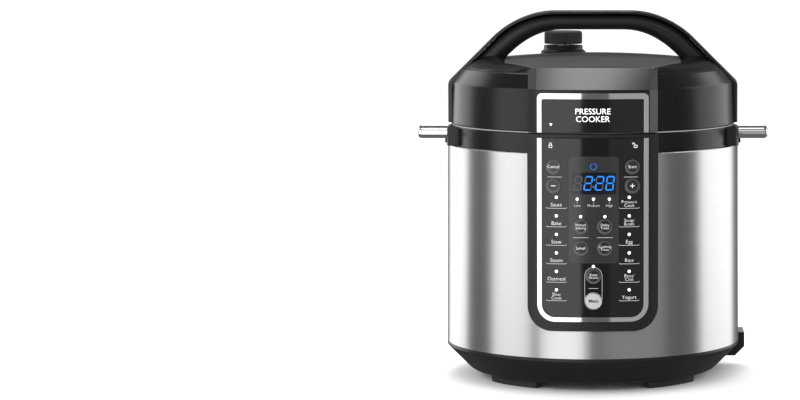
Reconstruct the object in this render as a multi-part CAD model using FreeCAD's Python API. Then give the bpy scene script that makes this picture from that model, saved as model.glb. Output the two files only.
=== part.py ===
import FreeCAD, Part
import math
import os

# Electric pressure cooker, 7.6 litre class. Millimetres, +Z up, front towards -Y.
# The origin is the pot's axis on the plane that the rubber feet stand on.

# ---- fits -------------------------------------------------------------------
FIT = 0.2            # gap between fixed pieces that nest
RUN = 0.3            # gap around a piece that moves
PLY = 0.1            # gap between two curved faces that are glued

# ---- body wall --------------------------------------------------------------
BODY_R = 148.0       # steel wall, outer radius at its foot
BODY_TAPER = 1.4     # how much the radius shrinks up to the wall's top
BODY_Z0 = 36.0
BODY_H = 199.6
BODY_Z1 = BODY_Z0 + BODY_H
STEEL_T = 0.8
STEEL_LIP = 2.9      # inward lip at the wall's top

# ---- base -------------------------------------------------------------------
FLOOR_Z = 7.0        # underside of the base
FLOOR_T = 5.0
BASE_WALL = 3.1
COVER_R = BODY_R - 48.0    # radius of the hole that the bottom cover fills
COVER_T = 2.5
COVER_LEDGE_W = 12.0  # ledge that the bottom cover is screwed to
FOOT_R = BODY_R - 31.0
FOOT_W = 11.0
FOOT_SPAN = 31.3     # degrees of arc
FOOT_AT = 44.0       # degrees from the front or the back
SCREW_R = 1.45
SCREW_HEAD_R = 3.0
SCREW_HEAD_T = 1.8

# ---- collar and outer cooker ------------------------------------------------
COLLAR_R = BODY_R - BODY_TAPER - 3.1
COLLAR_WALL = 3.0
COLLAR_Z1 = BODY_Z1 + 19.2
COLLAR_Z0 = COLLAR_Z1 - 49.8
LOCK_R = COLLAR_R - 16.5   # wall of the outer cooker
LOCK_WALL = 2.0
LOCK_Z1 = COLLAR_Z1 + 17.2  # top of the locking ring
LUG_W = 8.0
LUG_R = LOCK_R + LUG_W
LUG_T = 8.0
LUG_COUNT = 8
LUG_GAP_DEG = 14.0
LEDGE_W = 7.5        # ledge that the pot's rim hangs over
RIM_STEP = 2.0

# ---- heater and sensor ------------------------------------------------------
HEATER_R = LOCK_R - 37.0
HEATER_Z1 = BODY_Z0 + 36.0
HEATER_T = 12.0
COIL_R = HEATER_R - 24.0
COIL_WIRE_R = 4.0
SENSOR_R = 15.5
SENSOR_TRAVEL = 2.0
SPRING_R = 7.0
SPRING_WIRE_R = 0.7
SPRING_PITCH = 2.4
SHIELD_R = LOCK_R - 15.0
SHIELD_Z0 = BODY_Z0 + 2.0
SHIELD_RIM = 12.0
SHIELD_T = 0.8

# ---- inner pot --------------------------------------------------------------
POT_R = LOCK_R - 10.0
POT_WALL = 2.0
POT_FLOOR_T = 3.0
POT_RIM_R = LOCK_R - 2.8
POT_RIM_T = 1.6
POT_CORNER_R = 14.0

# ---- control panel ----------------------------------------------------------
FACE_D = BODY_R + 2.0      # how far its face stands in front of the pot's axis
FACE_R = FACE_D + 90.0     # the panel's own gentle curve
TRIM_HALF_W = 53.8
BEZEL_HALF_W = TRIM_HALF_W + 9.6
BEZEL_FACE_HALF_W = TRIM_HALF_W + 3.7
BEZEL_EDGE_D = FACE_D - 13.0
BEZEL_Z0 = BODY_Z0 + 27.5
BEZEL_CORNER_R = 24.0
TRIM_Z0 = BEZEL_Z0 + 9.3
TRIM_CORNER_R = 17.0
TRIM_W = 4.4
TRIM_PROUD = 0.5
OVERLAY_T = 1.6
PANEL_Z1 = COLLAR_Z1 - 3.8
FRAME_T = 4.3
BOARD_T = 1.6
BOARD_D = FACE_D - 12.5    # front of the display board
BOARD_HALF_W = TRIM_HALF_W - 7.8
KEY_TRAVEL = 0.5
KEY_FLANGE = 0.6
KEY_FLANGE_T = 1.2
PLUNGER_R = 2.2
SWITCH_W = 6.0
LENS_R = 1.4
COLUMN_X = 38.2      # keys beside the display
LED_COLUMN_X = 35.2
MIDDLE_X = 11.7      # keys below the display
CENTRE_X = 0.6
DISPLAY_W = 42.5
DISPLAY_H = 21.2

PANEL_H = PANEL_Z1 - TRIM_Z0 - TRIM_W


def row(share):
    """Height of a row of the panel, a share of its height below its top."""
    return PANEL_Z1 - share * PANEL_H


# name, x, z, radius
KEYS = [
    ("cancel", -COLUMN_X, row(0.159), 7.0),
    ("minus", -COLUMN_X, row(0.265), 7.2),
    ("start", COLUMN_X, row(0.159), 7.0),
    ("plus", COLUMN_X, row(0.265), 7.2),
    ("manual", -MIDDLE_X, row(0.491), 7.3),
    ("delay", MIDDLE_X, row(0.491), 7.3),
    ("level", -MIDDLE_X, row(0.612), 7.3),
    ("timer", MIDDLE_X, row(0.612), 7.3),
    ("warm", CENTRE_X, row(0.769), 7.3),
    ("menu", CENTRE_X, row(0.908), 8.4),
]
DISPLAY_Z = row(0.251)
LED_GAP = 2.3        # from a key's edge to the middle of the lens above it
LENSES = [(side * LED_COLUMN_X, row(0.329 + 0.1035 * i)) for side in (-1, 1) for i in range(6)]
LENSES += [(x, row(0.338)) for x in (-15.0, CENTRE_X, 16.0)]
LENSES += [(x, z + radius + LED_GAP) for name, x, z, radius in KEYS
           if name in ("manual", "delay", "warm")]
LENSES += [(CENTRE_X, row(0.157))]

# ---- side handles -----------------------------------------------------------
GRIP_X0 = COLLAR_R + 2.2
GRIP_L = 29.5
GRIP_X1 = GRIP_X0 + GRIP_L
GRIP_HALF_W = 42.0
GRIP_H = 13.4
GRIP_Z1 = COLLAR_Z1 + 0.1
GRIP_Z0 = GRIP_Z1 - GRIP_H
GRIP_BOW = 2.7
ROOT_HALF_W = 54.0
ROOT_X1 = GRIP_X0 - 0.2
ROOT_Z0 = GRIP_Z0 - 5.5
GRIP_SCREW_Y = 20.0
GRIP_SCREW_Z = GRIP_Z0 + 5.5
GRIP_SCREW_R = 1.9

# ---- power inlet ------------------------------------------------------------
INLET_X1 = BODY_R + 7.6
INLET_X0 = INLET_X1 - 29.6
INLET_Y0 = 20.0
INLET_Y1 = 60.0
INLET_Z1 = BODY_Z0 + 2.0
INLET_Z0 = INLET_Z1 - 24.0
SOCKET_X = INLET_X1 - 11.1
SOCKET_W = 16.0
SOCKET_Z = INLET_Z1 - 11.8
SOCKET_H = 15.6
SOCKET_DEPTH = 22.0
PIN_R = 1.6

# ---- condensation cup -------------------------------------------------------
CUP_HALF_W = 28.0
CUP_Y0 = LOCK_R + 4.0
CUP_Y1 = CUP_Y0 + 23.0
CUP_Z1 = COLLAR_Z1 - 14.8
CUP_Z0 = CUP_Z1 - 34.0
CUP_WALL = 1.6
CUP_BAY = 2.5        # room on each side, which the runners take up

# ---- lid --------------------------------------------------------------------
LID_Z0 = COLLAR_Z1 + 1.2
LID_R0 = COLLAR_R - 1.0
LID_R1 = LID_R0 - 1.2
LID_WALL_H = 41.0
SHOULDER_Z = LID_Z0 + LID_WALL_H
SHELF_R = LID_R0 - 12.5
SHELF_Z = SHOULDER_Z + 14.5
LID_WALL = 2.5
CROWN_Z = SHELF_Z + 14.0
CROWN_DROP = 6.0     # how far the crown falls over CROWN_SPAN
CROWN_SPAN = LID_R0 - 32.5
PLATE_HALF_W = LID_R0 - 55.0
PLATE_FRONT_HALF_W = 57.0
PLATE_FRONT_D = FACE_D - 32.0
PLATE_BACK = LID_R0 - 30.5
FASCIA_HALF_W = BEZEL_HALF_W - 0.6
FASCIA_FACE_HALF_W = TRIM_HALF_W + 1.0
FASCIA_BEVEL = 10.0
FASCIA_TOP_BOW = 0.3  # the slope's top edge is all but straight
FASCIA_Z1 = SHOULDER_Z + 0.6
FASCIA_TOP_Z = SHELF_Z + 6.0
SLOPE_SKIN = 3.0     # the fascia's thickness where it is let into the lid
LID_TURN_DEG = 32.0
TAB_DEG = 12.0
TAB_R = LOCK_R + 2.0
TAB_T = 3.0
TAB_Z0 = LOCK_Z1 - LUG_T - TAB_T - 1.5
INNER_LID_R = LUG_R + 3.5
INNER_LID_T = 1.6
INNER_LID_Z1 = LOCK_Z1 + 12.6

# ---- lid handle -------------------------------------------------------------
ARCH_H = 57.5
ARCH_Z = SHELF_Z + ARCH_H
ARCH_R = 91.0
ARCH_HALF_W = LID_R0 + 3.9
ARCH_FLAT = ARCH_HALF_W - 109.4   # half length of the flat top
STRAP_T = 3.6
STRAP_HALF_D = 15.5
GRIP_HALF_D = 17.0
UNDERSIDE_Z = ARCH_Z - 19.0
HANDLE_ROOT_X = LID_R0 - 54.5
STRAP_Z0 = LID_Z0 + 0.4

# ---- valves -----------------------------------------------------------------
VALVE_X = -30.4
VALVE_Y = 60.0
VALVE_NECK_R = 20.0
VALVE_FLANGE_R = VALVE_NECK_R + 3.0
VALVE_TOP_Z = SHELF_Z + 19.5
PIPE_R = 6.0
PIPE_BORE_R = 3.0
KNOB_R = 19.5
KNOB_H = 13.1
KNOB_Z0 = VALVE_TOP_Z + 1.6
KNOB_Z1 = KNOB_Z0 + KNOB_H
KNOB_BORE_GAP = 0.08
FLOAT_X = 2.0
FLOAT_R = 3.0
FLOAT_TRAVEL = 4.0

# ---- sealing ring -----------------------------------------------------------
SEAL_R0 = POT_R + 1.0
SEAL_R1 = SEAL_R0 + 10.5

# ---- worked out -------------------------------------------------------------
V = FreeCAD.Vector
FRONT = -90.0                                    # azimuth of the front, degrees
FACE_Y = FACE_R - FACE_D                         # axis of the panel's curve
BODY_TOP_R = BODY_R - BODY_TAPER
HEATER_Z0 = HEATER_Z1 - HEATER_T
POT_Z0 = HEATER_Z1 + RUN
LUG_DEG = 360.0 / LUG_COUNT - LUG_GAP_DEG
INNER_CEILING = INNER_LID_Z1 - INNER_LID_T
OVERLAY_D = FACE_D - RUN
OVERLAY_BACK = OVERLAY_D - OVERLAY_T
FRAME_BACK = OVERLAY_BACK - FIT - FRAME_T
FAR = 400.0


# ---- geometry helpers -------------------------------------------------------
def rounded(points, place):
    """Closed wire through (u, v) or (u, v, radius) points; a radius becomes a tangent arc."""
    corners = []
    count = len(points)
    for i, point in enumerate(points):
        here = V(point[0], point[1], 0)
        if len(point) < 3:
            corners.append((here, None, here))
            continue
        radius = point[2]
        back = (V(*points[i - 1][:2], 0) - here).normalize()
        ahead = (V(*points[(i + 1) % count][:2], 0) - here).normalize()
        half = back.getAngle(ahead) / 2
        reach = radius / math.tan(half)
        inward = (back + ahead).normalize()
        middle = here + inward * (radius / math.sin(half) - radius)
        corners.append((here + back * reach, middle, here + ahead * reach))
    edges = []
    for i, (start, middle, end) in enumerate(corners):
        if middle is not None:
            edges.append(Part.Arc(place(start), place(middle), place(end)).toShape())
        after = corners[(i + 1) % count][0]
        if (after - end).Length > 1e-6:
            edges.append(Part.LineSegment(place(end), place(after)).toShape())
    return Part.Wire(edges)


def revolve(points, start=0.0, sweep=360.0):
    """Solid of revolution about Z of a closed (r, z) outline, from azimuth start."""
    face = Part.Face(rounded(points, lambda p: V(p.x, 0, p.y)))
    solid = face.revolve(V(0, 0, 0), V(0, 0, 1), sweep)
    solid.rotate(V(0, 0, 0), V(0, 0, 1), start)
    return solid


def sector(r0, r1, z0, z1, centre, width):
    """Block of a ring, width degrees wide about an azimuth."""
    return revolve([(r0, z0), (r1, z0), (r1, z1), (r0, z1)], centre - width / 2, width)


def box(x0, x1, y0, y1, z0, z1):
    return Part.makeBox(x1 - x0, y1 - y0, z1 - z0, V(x0, y0, z0))


def post(x, y, z0, z1, radius):
    return Part.makeCylinder(radius, z1 - z0, V(x, y, z0))


def rod(x, z, y0, y1, radius):
    """Cylinder along Y."""
    return Part.makeCylinder(radius, y1 - y0, V(x, y0, z), V(0, 1, 0))


def prism_y(points, y0, y1):
    """(x, z) outline carried along Y."""
    return Part.Face(rounded(points, lambda p: V(p.x, y0, p.y))).extrude(V(0, y1 - y0, 0))


def prism_z(points, z0, z1):
    """(x, y) outline carried along Z."""
    return Part.Face(rounded(points, lambda p: V(p.x, p.y, z0))).extrude(V(0, 0, z1 - z0))


def prism_x(points, x0, x1):
    """(y, z) outline carried along X."""
    return Part.Face(rounded(points, lambda p: V(x0, p.x, p.y))).extrude(V(x1 - x0, 0, 0))


def mirror_x(shape):
    return shape.mirror(V(0, 0, 0), V(1, 0, 0))


def turned(shape, angle):
    copy = shape.copy()
    copy.rotate(V(0, 0, 0), V(0, 0, 1), angle)
    return copy


def around(shape, angles):
    return [turned(shape, angle) for angle in angles]


def face_layer(d_back, d_front, z0, z1):
    """Curved sheet parallel to the panel's face, between two distances from the axis."""
    outer = Part.makeCylinder(FACE_Y + d_front, z1 - z0, V(0, FACE_Y, z0))
    inner = Part.makeCylinder(FACE_Y + d_back, z1 - z0, V(0, FACE_Y, z0))
    return outer.cut(inner)


def face_depth(x, depth):
    """How far a panel layer stands in front of the pot's axis at x."""
    return math.sqrt((FACE_Y + depth) ** 2 - x * x) - FACE_Y


def cup_outline(half_w, z0, z1, radius):
    """(x, z) outline with square top corners and round bottom corners."""
    return [(-half_w, z0, radius), (half_w, z0, radius), (half_w, z1), (-half_w, z1)]


def panel_sheet(outline, d_back, d_front):
    """Part of a panel layer inside an (x, z) outline."""
    z0 = min(p[1] for p in outline)
    z1 = max(p[1] for p in outline)
    front = prism_y(outline, -FACE_D - 20, -FACE_D + 50)
    return front.common(face_layer(d_back, d_front, z0 - 1, z1 + 1))


def body_core(gap):
    """What the wall and the collar fill, gap larger: pieces on the outside are cut by it."""
    return revolve([
        (0, BODY_Z0 - gap), (BODY_R + gap, BODY_Z0 - gap), (BODY_TOP_R + gap, BODY_Z1 + gap),
        (COLLAR_R + gap, BODY_Z1 + gap), (COLLAR_R + gap, LID_Z0 + 5), (0, LID_Z0 + 5),
    ])


def lid_core(gap):
    """What the lid's housing fills, gap larger."""
    return revolve([
        (0, LID_Z0 - 20), (LID_R0 + gap, LID_Z0 - 20), (LID_R0 + gap, LID_Z0),
        (LID_R1 + gap, SHOULDER_Z), (SHELF_R + gap, SHELF_Z + gap), (0, SHELF_Z + gap),
    ])


def crown(extra=0.0):
    """Shallow ball whose top is the lid's crown."""
    radius = (CROWN_SPAN ** 2 + CROWN_DROP ** 2) / (2 * CROWN_DROP)
    return Part.makeSphere(radius + extra, V(0, 0, CROWN_Z - radius))


def cut(solid, *tools):
    for tool in tools:
        solid = solid.cut(tool)
    return solid


def fuse(first, others):
    return first.multiFuse(others).removeSplitter()


# ---- base -------------------------------------------------------------------
FOOT_AZIMUTHS = [FRONT - FOOT_AT, FRONT + FOOT_AT, -FRONT - FOOT_AT, -FRONT + FOOT_AT]
COVER_SCREW_R = COVER_R - COVER_LEDGE_W / 2
COVER_SCREW_AZIMUTHS = [10.0, 100.0, 190.0, 280.0]
SHIELD_POST_AZIMUTHS = [90.0, 210.0, 330.0]
SHIELD_POST_R = SHIELD_R - 7.0
HEATER_SCREW_R = HEATER_R + 13.0
HEATER_SCREW_AZIMUTHS = [30.0, 150.0, 270.0]


def inlet_block(gap=0.0):
    outline = [
        (INLET_X0 - gap, INLET_Z0 - gap), (INLET_X1 - 9.6 + gap, INLET_Z0 - gap),
        (INLET_X1 + gap, INLET_Z0 + 9.6 - gap), (INLET_X1 + gap, INLET_Z1 + gap),
        (INLET_X0 - gap, INLET_Z1 + gap),
    ]
    return prism_y(outline, INLET_Y0 - gap, INLET_Y1 + gap)


def base_housing():
    top = FLOOR_Z + FLOOR_T
    slope = BODY_R - BODY_Z0 + 4.0             # the bowl's 45 degree wall is r = z + slope
    inner = slope - BASE_WALL * math.sqrt(2)
    spigot = BODY_R - STEEL_T - RUN
    step = FLOOR_Z + RUN + COVER_T
    ring = revolve([
        (COVER_R, FLOOR_Z), (FLOOR_Z + slope, FLOOR_Z, 12.0), (BODY_R, BODY_R - slope, 3.0),
        (BODY_R, BODY_Z0), (spigot, BODY_Z0), (spigot, BODY_Z0 + 6), (spigot - 2, BODY_Z0 + 6),
        (spigot - 2, spigot - 2 - inner), (top + inner, top, 8.0), (COVER_R - COVER_LEDGE_W, top),
        (COVER_R - COVER_LEDGE_W, step), (COVER_R, step),
    ])
    posts = around(post(SHIELD_POST_R, 0, top - 1, SHIELD_Z0, 4.0), SHIELD_POST_AZIMUTHS)
    holes = around(post(COVER_SCREW_R, 0, FLOOR_Z, top + 1, SCREW_R + FIT), COVER_SCREW_AZIMUTHS)
    return [cut(fuse(ring, posts), inlet_block(FIT), *holes)]


def bottom_cover():
    z0 = FLOOR_Z + RUN
    disc = post(0, 0, z0, z0 + COVER_T, COVER_R - RUN)
    r1 = COVER_R - 20.0
    slot = prism_z([(45, -2.2, 2.1), (r1, -2.2, 2.1), (r1, 2.2, 2.1), (45, 2.2, 2.1)], 0, 20)
    holes = around(post(COVER_SCREW_R, 0, 0, 20, SCREW_R + FIT), COVER_SCREW_AZIMUTHS)
    return [cut(disc, *around(slot, range(0, 360, 20)), *holes)]


def rubber_feet():
    r0 = FOOT_R - FOOT_W
    edge = 0.8
    outline = [
        (r0 + edge, 0), (FOOT_R - edge, 0), (FOOT_R, edge), (FOOT_R, FLOOR_Z), (r0, FLOOR_Z),
        (r0, edge),
    ]
    return [revolve(outline, at - FOOT_SPAN / 2, FOOT_SPAN) for at in FOOT_AZIMUTHS]


def steel_wall():
    drop = BODY_R - STEEL_T
    wall = revolve([
        (drop, BODY_Z0), (BODY_R, BODY_Z0), (BODY_TOP_R, BODY_Z1, 0.75),
        (BODY_TOP_R - STEEL_LIP, BODY_Z1), (BODY_TOP_R - STEEL_LIP, BODY_Z1 - STEEL_T),
        (BODY_TOP_R - STEEL_T, BODY_Z1 - STEEL_T),
    ])
    window = TRIM_HALF_W - 3.3
    front = box(-window, window, -FAR, 0, TRIM_Z0 + 6.2, BODY_Z1 + 1)
    back_w = CUP_HALF_W + CUP_BAY
    back = box(-back_w, back_w, 0, FAR, CUP_Z0 - CUP_BAY, BODY_Z1 + 1)
    return [cut(wall, front, back)]


def collar_ring():
    inner = LOCK_R + RUN
    flange = BODY_TOP_R - STEEL_T - FIT
    under = BODY_Z1 - STEEL_T - FIT
    ring = revolve([
        (flange, COLLAR_Z0), (flange, under), (COLLAR_R, under), (COLLAR_R, COLLAR_Z1, 1.2),
        (inner, COLLAR_Z1), (inner, COLLAR_Z1 - COLLAR_WALL),
        (COLLAR_R - COLLAR_WALL, COLLAR_Z1 - COLLAR_WALL), (COLLAR_R - COLLAR_WALL, COLLAR_Z0),
    ])
    window = TRIM_HALF_W - 1.8
    back_w = CUP_HALF_W + CUP_BAY
    tools = [
        box(-window, window, -FAR, 0, COLLAR_Z0 - 1, PANEL_Z1 - 3),
        box(-back_w, back_w, 0, FAR, COLLAR_Z0 - 1, CUP_Z1 + CUP_BAY),
        sector(LEVER_R - 1.6, LEVER_R + 1.6, COLLAR_Z1 - 5, COLLAR_Z1 + 1, LEVER_AT + 0.9, 5.4),
        sector(LOCK_R + 4.0, COLLAR_R - 5.5, COLLAR_Z1 - 5, COLLAR_Z1 + 1, 90.0, 8.0),
    ]
    tools += screw_holes()
    return [cut(ring, *tools)]


# ---- outer cooker, heater and sensor ----------------------------------------
LOCKED_AT = 0.0                                  # azimuth of one lid tab when locked
GAP_AT = LOCKED_AT + LID_TURN_DEG
LUG_AT = GAP_AT + 180.0 / LUG_COUNT
PITCH = 360.0 / LUG_COUNT


def outer_cooker():
    inner = LOCK_R - LOCK_WALL
    ledge = LOCK_Z1 - RIM_STEP
    seat = POT_RIM_R + 2 * RUN
    floor_z = HEATER_Z0
    hole = HEATER_R + 5.0
    ring = revolve([
        (hole, floor_z), (LOCK_R, floor_z, 5.0), (LOCK_R, LOCK_Z1, 0.8), (seat, LOCK_Z1),
        (seat, ledge), (LOCK_R - LEDGE_W, ledge), (LOCK_R - LEDGE_W, ledge - 4), (inner, ledge - 10),
        (inner, floor_z + LOCK_WALL, 3.0), (hole, floor_z + LOCK_WALL),
    ])
    lug = revolve([
        (LOCK_R - 1, LOCK_Z1 - LUG_T), (LUG_R, LOCK_Z1 - LUG_T), (LUG_R, LOCK_Z1, 1.5),
        (LOCK_R - 1, LOCK_Z1),
    ], LUG_AT - LUG_DEG / 2, LUG_DEG)
    lugs = around(lug, [PITCH * i for i in range(LUG_COUNT)])
    holes = around(post(HEATER_SCREW_R, 0, 0, 80, SCREW_R + FIT), HEATER_SCREW_AZIMUTHS)
    return [cut(fuse(ring, lugs), *holes)]


def heating_plate():
    hole = SENSOR_R + 2 * RUN
    plate = revolve([
        (hole, HEATER_Z0), (HEATER_R, HEATER_Z0), (HEATER_R, HEATER_Z1 - 3),
        (HEATER_R - 6, HEATER_Z1), (hole, HEATER_Z1),
    ])
    groove = Part.makeTorus(COIL_R, COIL_WIRE_R + PLY, V(0, 0, HEATER_Z0))
    return [plate.cut(groove)]


def heating_element():
    circle = Part.makeCircle(COIL_WIRE_R, V(COIL_R, 0, HEATER_Z0), V(0, 1, 0))
    sweep = 320.0
    coil = Part.Face(Part.Wire(circle)).revolve(V(0, 0, 0), V(0, 0, 1), sweep)
    terminal = post(COIL_R, 0, HEATER_Z0 - 16, HEATER_Z0 - 1, 2.5)
    ends = [turned(terminal, 3.0), turned(terminal, sweep - 3.0)]
    return [turned(fuse(coil, ends), 110.0)]


def heater_bracket():
    top = HEATER_Z0
    ring = revolve([
        (HEATER_R - 6, top - 2.5), (LOCK_R - 16, top - 2.5), (LOCK_R - 16, top),
        (HEATER_R - 6, top),
    ])
    slot = sector(HEATER_R + 1, HEATER_R + 7, 0, 100, 0, 40)
    holes = around(post(HEATER_SCREW_R, 0, 0, 80, SCREW_R + FIT), HEATER_SCREW_AZIMUTHS)
    return [cut(ring, *around(slot, [60, 120, 180, 240, 300, 360]), *holes)]


def sensor_bracket():
    foot = 40.0
    low = HEATER_Z0 - 10.0
    strap = fuse(box(-6, 6, -foot, foot, low, low + 1.5), [
        box(-6, 6, side * foot - 1.5, side * foot + 1.5, low, HEATER_Z0) for side in (-1, 1)
    ])
    return [strap]


def sensor_spring():
    seat = HEATER_Z0 - 8.5
    length = HEATER_Z0 + 1.0 - seat - 2 * (SPRING_WIRE_R + RUN / 2)
    helix = Part.makeHelix(SPRING_PITCH, length, SPRING_R)
    start = Part.Wire(Part.makeCircle(SPRING_WIRE_R, V(SPRING_R, 0, 0), V(0, 1, 0)))
    spring = Part.Wire(helix).makePipeShell([start], True, True)
    spring.translate(V(0, 0, seat + SPRING_WIRE_R + RUN / 2))
    return [spring]


def sensor_cap():
    z0 = HEATER_Z0 + 1.0
    return [revolve([
        (0, z0), (SENSOR_R, z0), (SENSOR_R, HEATER_Z1 - 0.05, 2.0), (0, HEATER_Z1 - 0.05),
    ])]


def pressure_switch():
    top = HEATER_Z0 - 2.5
    x0 = HEATER_R - 1.0
    body = box(x0, x0 + 18, -9, 9, top - 10, top)
    blades = [box(x0 + 5, x0 + 13, side * 5 - 0.4, side * 5 + 0.4, top - 15, top - 10)
              for side in (-1, 1)]
    return [fuse(body, blades)]


def heat_shield():
    z1 = SHIELD_Z0 + SHIELD_T
    return [revolve([
        (20, SHIELD_Z0), (SHIELD_R, SHIELD_Z0, 4.0), (SHIELD_R, SHIELD_Z0 + SHIELD_RIM),
        (SHIELD_R - SHIELD_T, SHIELD_Z0 + SHIELD_RIM), (SHIELD_R - SHIELD_T, z1, 3.2), (20, z1),
    ])]


# ---- power board in the base ------------------------------------------------
PCB_Z = 20.0
PCB_HALF_W = 50.0
PCB_Y0 = 2.0 - COVER_R
PCB_Y1 = PCB_Y0 + 70.0
PCB_INSET = 6.0


def power_board():
    board = box(-PCB_HALF_W, PCB_HALF_W, PCB_Y0, PCB_Y1, PCB_Z, PCB_Z + BOARD_T)
    x = PCB_HALF_W - PCB_INSET
    spots = [(-x, PCB_Y0 + PCB_INSET), (x, PCB_Y0 + PCB_INSET)]
    spots += [(-x, PCB_Y1 - PCB_INSET), (x, PCB_Y1 - PCB_INSET)]
    cover_top = FLOOR_Z + RUN + COVER_T
    posts = []
    for px, py in spots:
        on_cover = math.hypot(px, py) < COVER_R - COVER_LEDGE_W - 4
        posts.append(post(px, py, cover_top if on_cover else FLOOR_Z + FLOOR_T, PCB_Z, 3.0))
    return [fuse(board, posts)]


def board_components():
    top = PCB_Z + BOARD_T
    high = SHIELD_Z0 - 2.0
    return [
        box(-42, -12, PCB_Y0 + 10, PCB_Y0 + 36, top, high - 1),
        box(10, 30, PCB_Y0 + 10, PCB_Y0 + 28, top, high - 3),
        box(-38, -20, PCB_Y0 + 44, PCB_Y0 + 60, top, high - 2),
        post(4, PCB_Y0 + 48, top, high - 1, 8.0),
        post(26, PCB_Y0 + 50, top, high - 4, 5.0),
    ]


# ---- control panel ----------------------------------------------------------
def panel_bezel():
    outline = cup_outline(BEZEL_HALF_W, BEZEL_Z0, COLLAR_Z1 - FIT, BEZEL_CORNER_R)
    block = prism_y(outline, -FACE_D - 20, -FACE_D + 50)
    edge = face_depth(BEZEL_FACE_HALF_W, FACE_D)
    side = BEZEL_HALF_W + 1
    plan = Part.Wire([
        Part.Arc(V(-BEZEL_FACE_HALF_W, -edge, 0), V(0, -FACE_D, 0),
                 V(BEZEL_FACE_HALF_W, -edge, 0)).toShape(),
        Part.LineSegment(V(BEZEL_FACE_HALF_W, -edge, 0), V(side, -BEZEL_EDGE_D, 0)).toShape(),
        Part.LineSegment(V(side, -BEZEL_EDGE_D, 0), V(side, -100, 0)).toShape(),
        Part.LineSegment(V(side, -100, 0), V(-side, -100, 0)).toShape(),
        Part.LineSegment(V(-side, -100, 0), V(-side, -BEZEL_EDGE_D, 0)).toShape(),
        Part.LineSegment(V(-side, -BEZEL_EDGE_D, 0), V(-BEZEL_FACE_HALF_W, -edge, 0)).toShape(),
    ])
    plan_solid = Part.Face(plan).extrude(V(0, 0, FAR))
    window = prism_y(cup_outline(TRIM_HALF_W + FIT, TRIM_Z0 - FIT, PANEL_Z1 + FIT,
                                 TRIM_CORNER_R + FIT), -FACE_D - 20, -FACE_D + 50)
    return [cut(block.common(plan_solid), window, body_core(RUN))]


def inner_outline(gap=0.0):
    """Outline of the overlay, gap smaller all round."""
    half = TRIM_HALF_W - TRIM_W - gap
    return cup_outline(half, TRIM_Z0 + TRIM_W + gap, PANEL_Z1 - gap, TRIM_CORNER_R - TRIM_W - gap)


def panel_trim():
    outer = cup_outline(TRIM_HALF_W, TRIM_Z0, PANEL_Z1, TRIM_CORNER_R)
    inner = cup_outline(TRIM_HALF_W - TRIM_W, TRIM_Z0 + TRIM_W, PANEL_Z1 + 5,
                        TRIM_CORNER_R - TRIM_W)
    sheet = panel_sheet(outer, OVERLAY_BACK, FACE_D + TRIM_PROUD)
    return [cut(sheet, prism_y(inner, -FACE_D - 20, -FACE_D + 50), body_core(RUN))]


def key_holes(extra):
    return [rod(x, z, -FAR, 0, radius + extra) for _, x, z, radius in KEYS]


def lens_holes(extra):
    return [rod(x, z, -FAR, 0, LENS_R + extra) for x, z in LENSES]


def panel_overlay():
    sheet = panel_sheet(inner_outline(FIT), OVERLAY_BACK, OVERLAY_D)
    return [cut(sheet, *key_holes(RUN), *lens_holes(PLY))]


def panel_frame():
    half = TRIM_HALF_W - TRIM_W - 0.6
    outline = cup_outline(half, TRIM_Z0 + 9, PANEL_Z1 - 4, 9.0)
    sheet = panel_sheet(outline, FRAME_BACK, FRAME_BACK + FRAME_T)
    display = box(CENTRE_X - DISPLAY_W / 2 - FIT, CENTRE_X + DISPLAY_W / 2 + FIT, -FAR, 0,
                  DISPLAY_Z - DISPLAY_H / 2 - FIT, DISPLAY_Z + DISPLAY_H / 2 + FIT)
    return [cut(sheet, *key_holes(KEY_FLANGE + 2 * RUN), *lens_holes(PLY), display)]


def display_board():
    board = box(-BOARD_HALF_W, BOARD_HALF_W, -BOARD_D, -BOARD_D + BOARD_T, TRIM_Z0 + 11, PANEL_Z1 - 20.0)
    pegs = [rod(x, z, FIT - face_depth(abs(x) + 2.0, FRAME_BACK), -BOARD_D + 0.5, 2.0)
            for x in (-24.0, 25.0) for z in (TRIM_Z0 + 27.2, PANEL_Z1 - 25.0)]
    return [fuse(board, pegs)]


def display_module():
    depth = face_depth(DISPLAY_W / 2 + CENTRE_X, OVERLAY_BACK) - RUN
    return [box(CENTRE_X - DISPLAY_W / 2, CENTRE_X + DISPLAY_W / 2, -depth, -BOARD_D,
                DISPLAY_Z - DISPLAY_H / 2, DISPLAY_Z + DISPLAY_H / 2)]


PLUNGER_D = BOARD_D + 4.0                        # where a key's plunger ends


def key_switches():
    front = PLUNGER_D - KEY_TRAVEL - RUN
    half = SWITCH_W / 2
    return [box(x - half, x + half, -front, -BOARD_D, z - half, z + half)
            for _, x, z, _ in KEYS]


def indicator_lenses():
    pipes = []
    for x, z in LENSES:
        depth = face_depth(x, OVERLAY_D + PLY)
        pipes.append(rod(x, z, -depth, -BOARD_D - RUN, LENS_R))
    return pipes


def key(x, z, radius):
    back = OVERLAY_BACK - 2 * FIT - KEY_FLANGE_T
    cap = rod(x, z, -FAR, 0, radius).common(face_layer(back, FACE_D, z - 20, z + 20))
    cap = cap.common(box(-FAR, FAR, -FAR, 0, 0, FAR))
    flange = rod(x, z, -FAR, 0, radius + KEY_FLANGE)
    flange = flange.common(face_layer(back, back + KEY_FLANGE_T, z - 20, z + 20))
    flange = flange.common(box(-FAR, FAR, -FAR, 0, 0, FAR))
    start = face_depth(abs(x) + PLUNGER_R, back) + 0.6
    plunger = rod(x, z, -start, -PLUNGER_D, PLUNGER_R)
    return [fuse(cap, [flange, plunger])]


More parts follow.
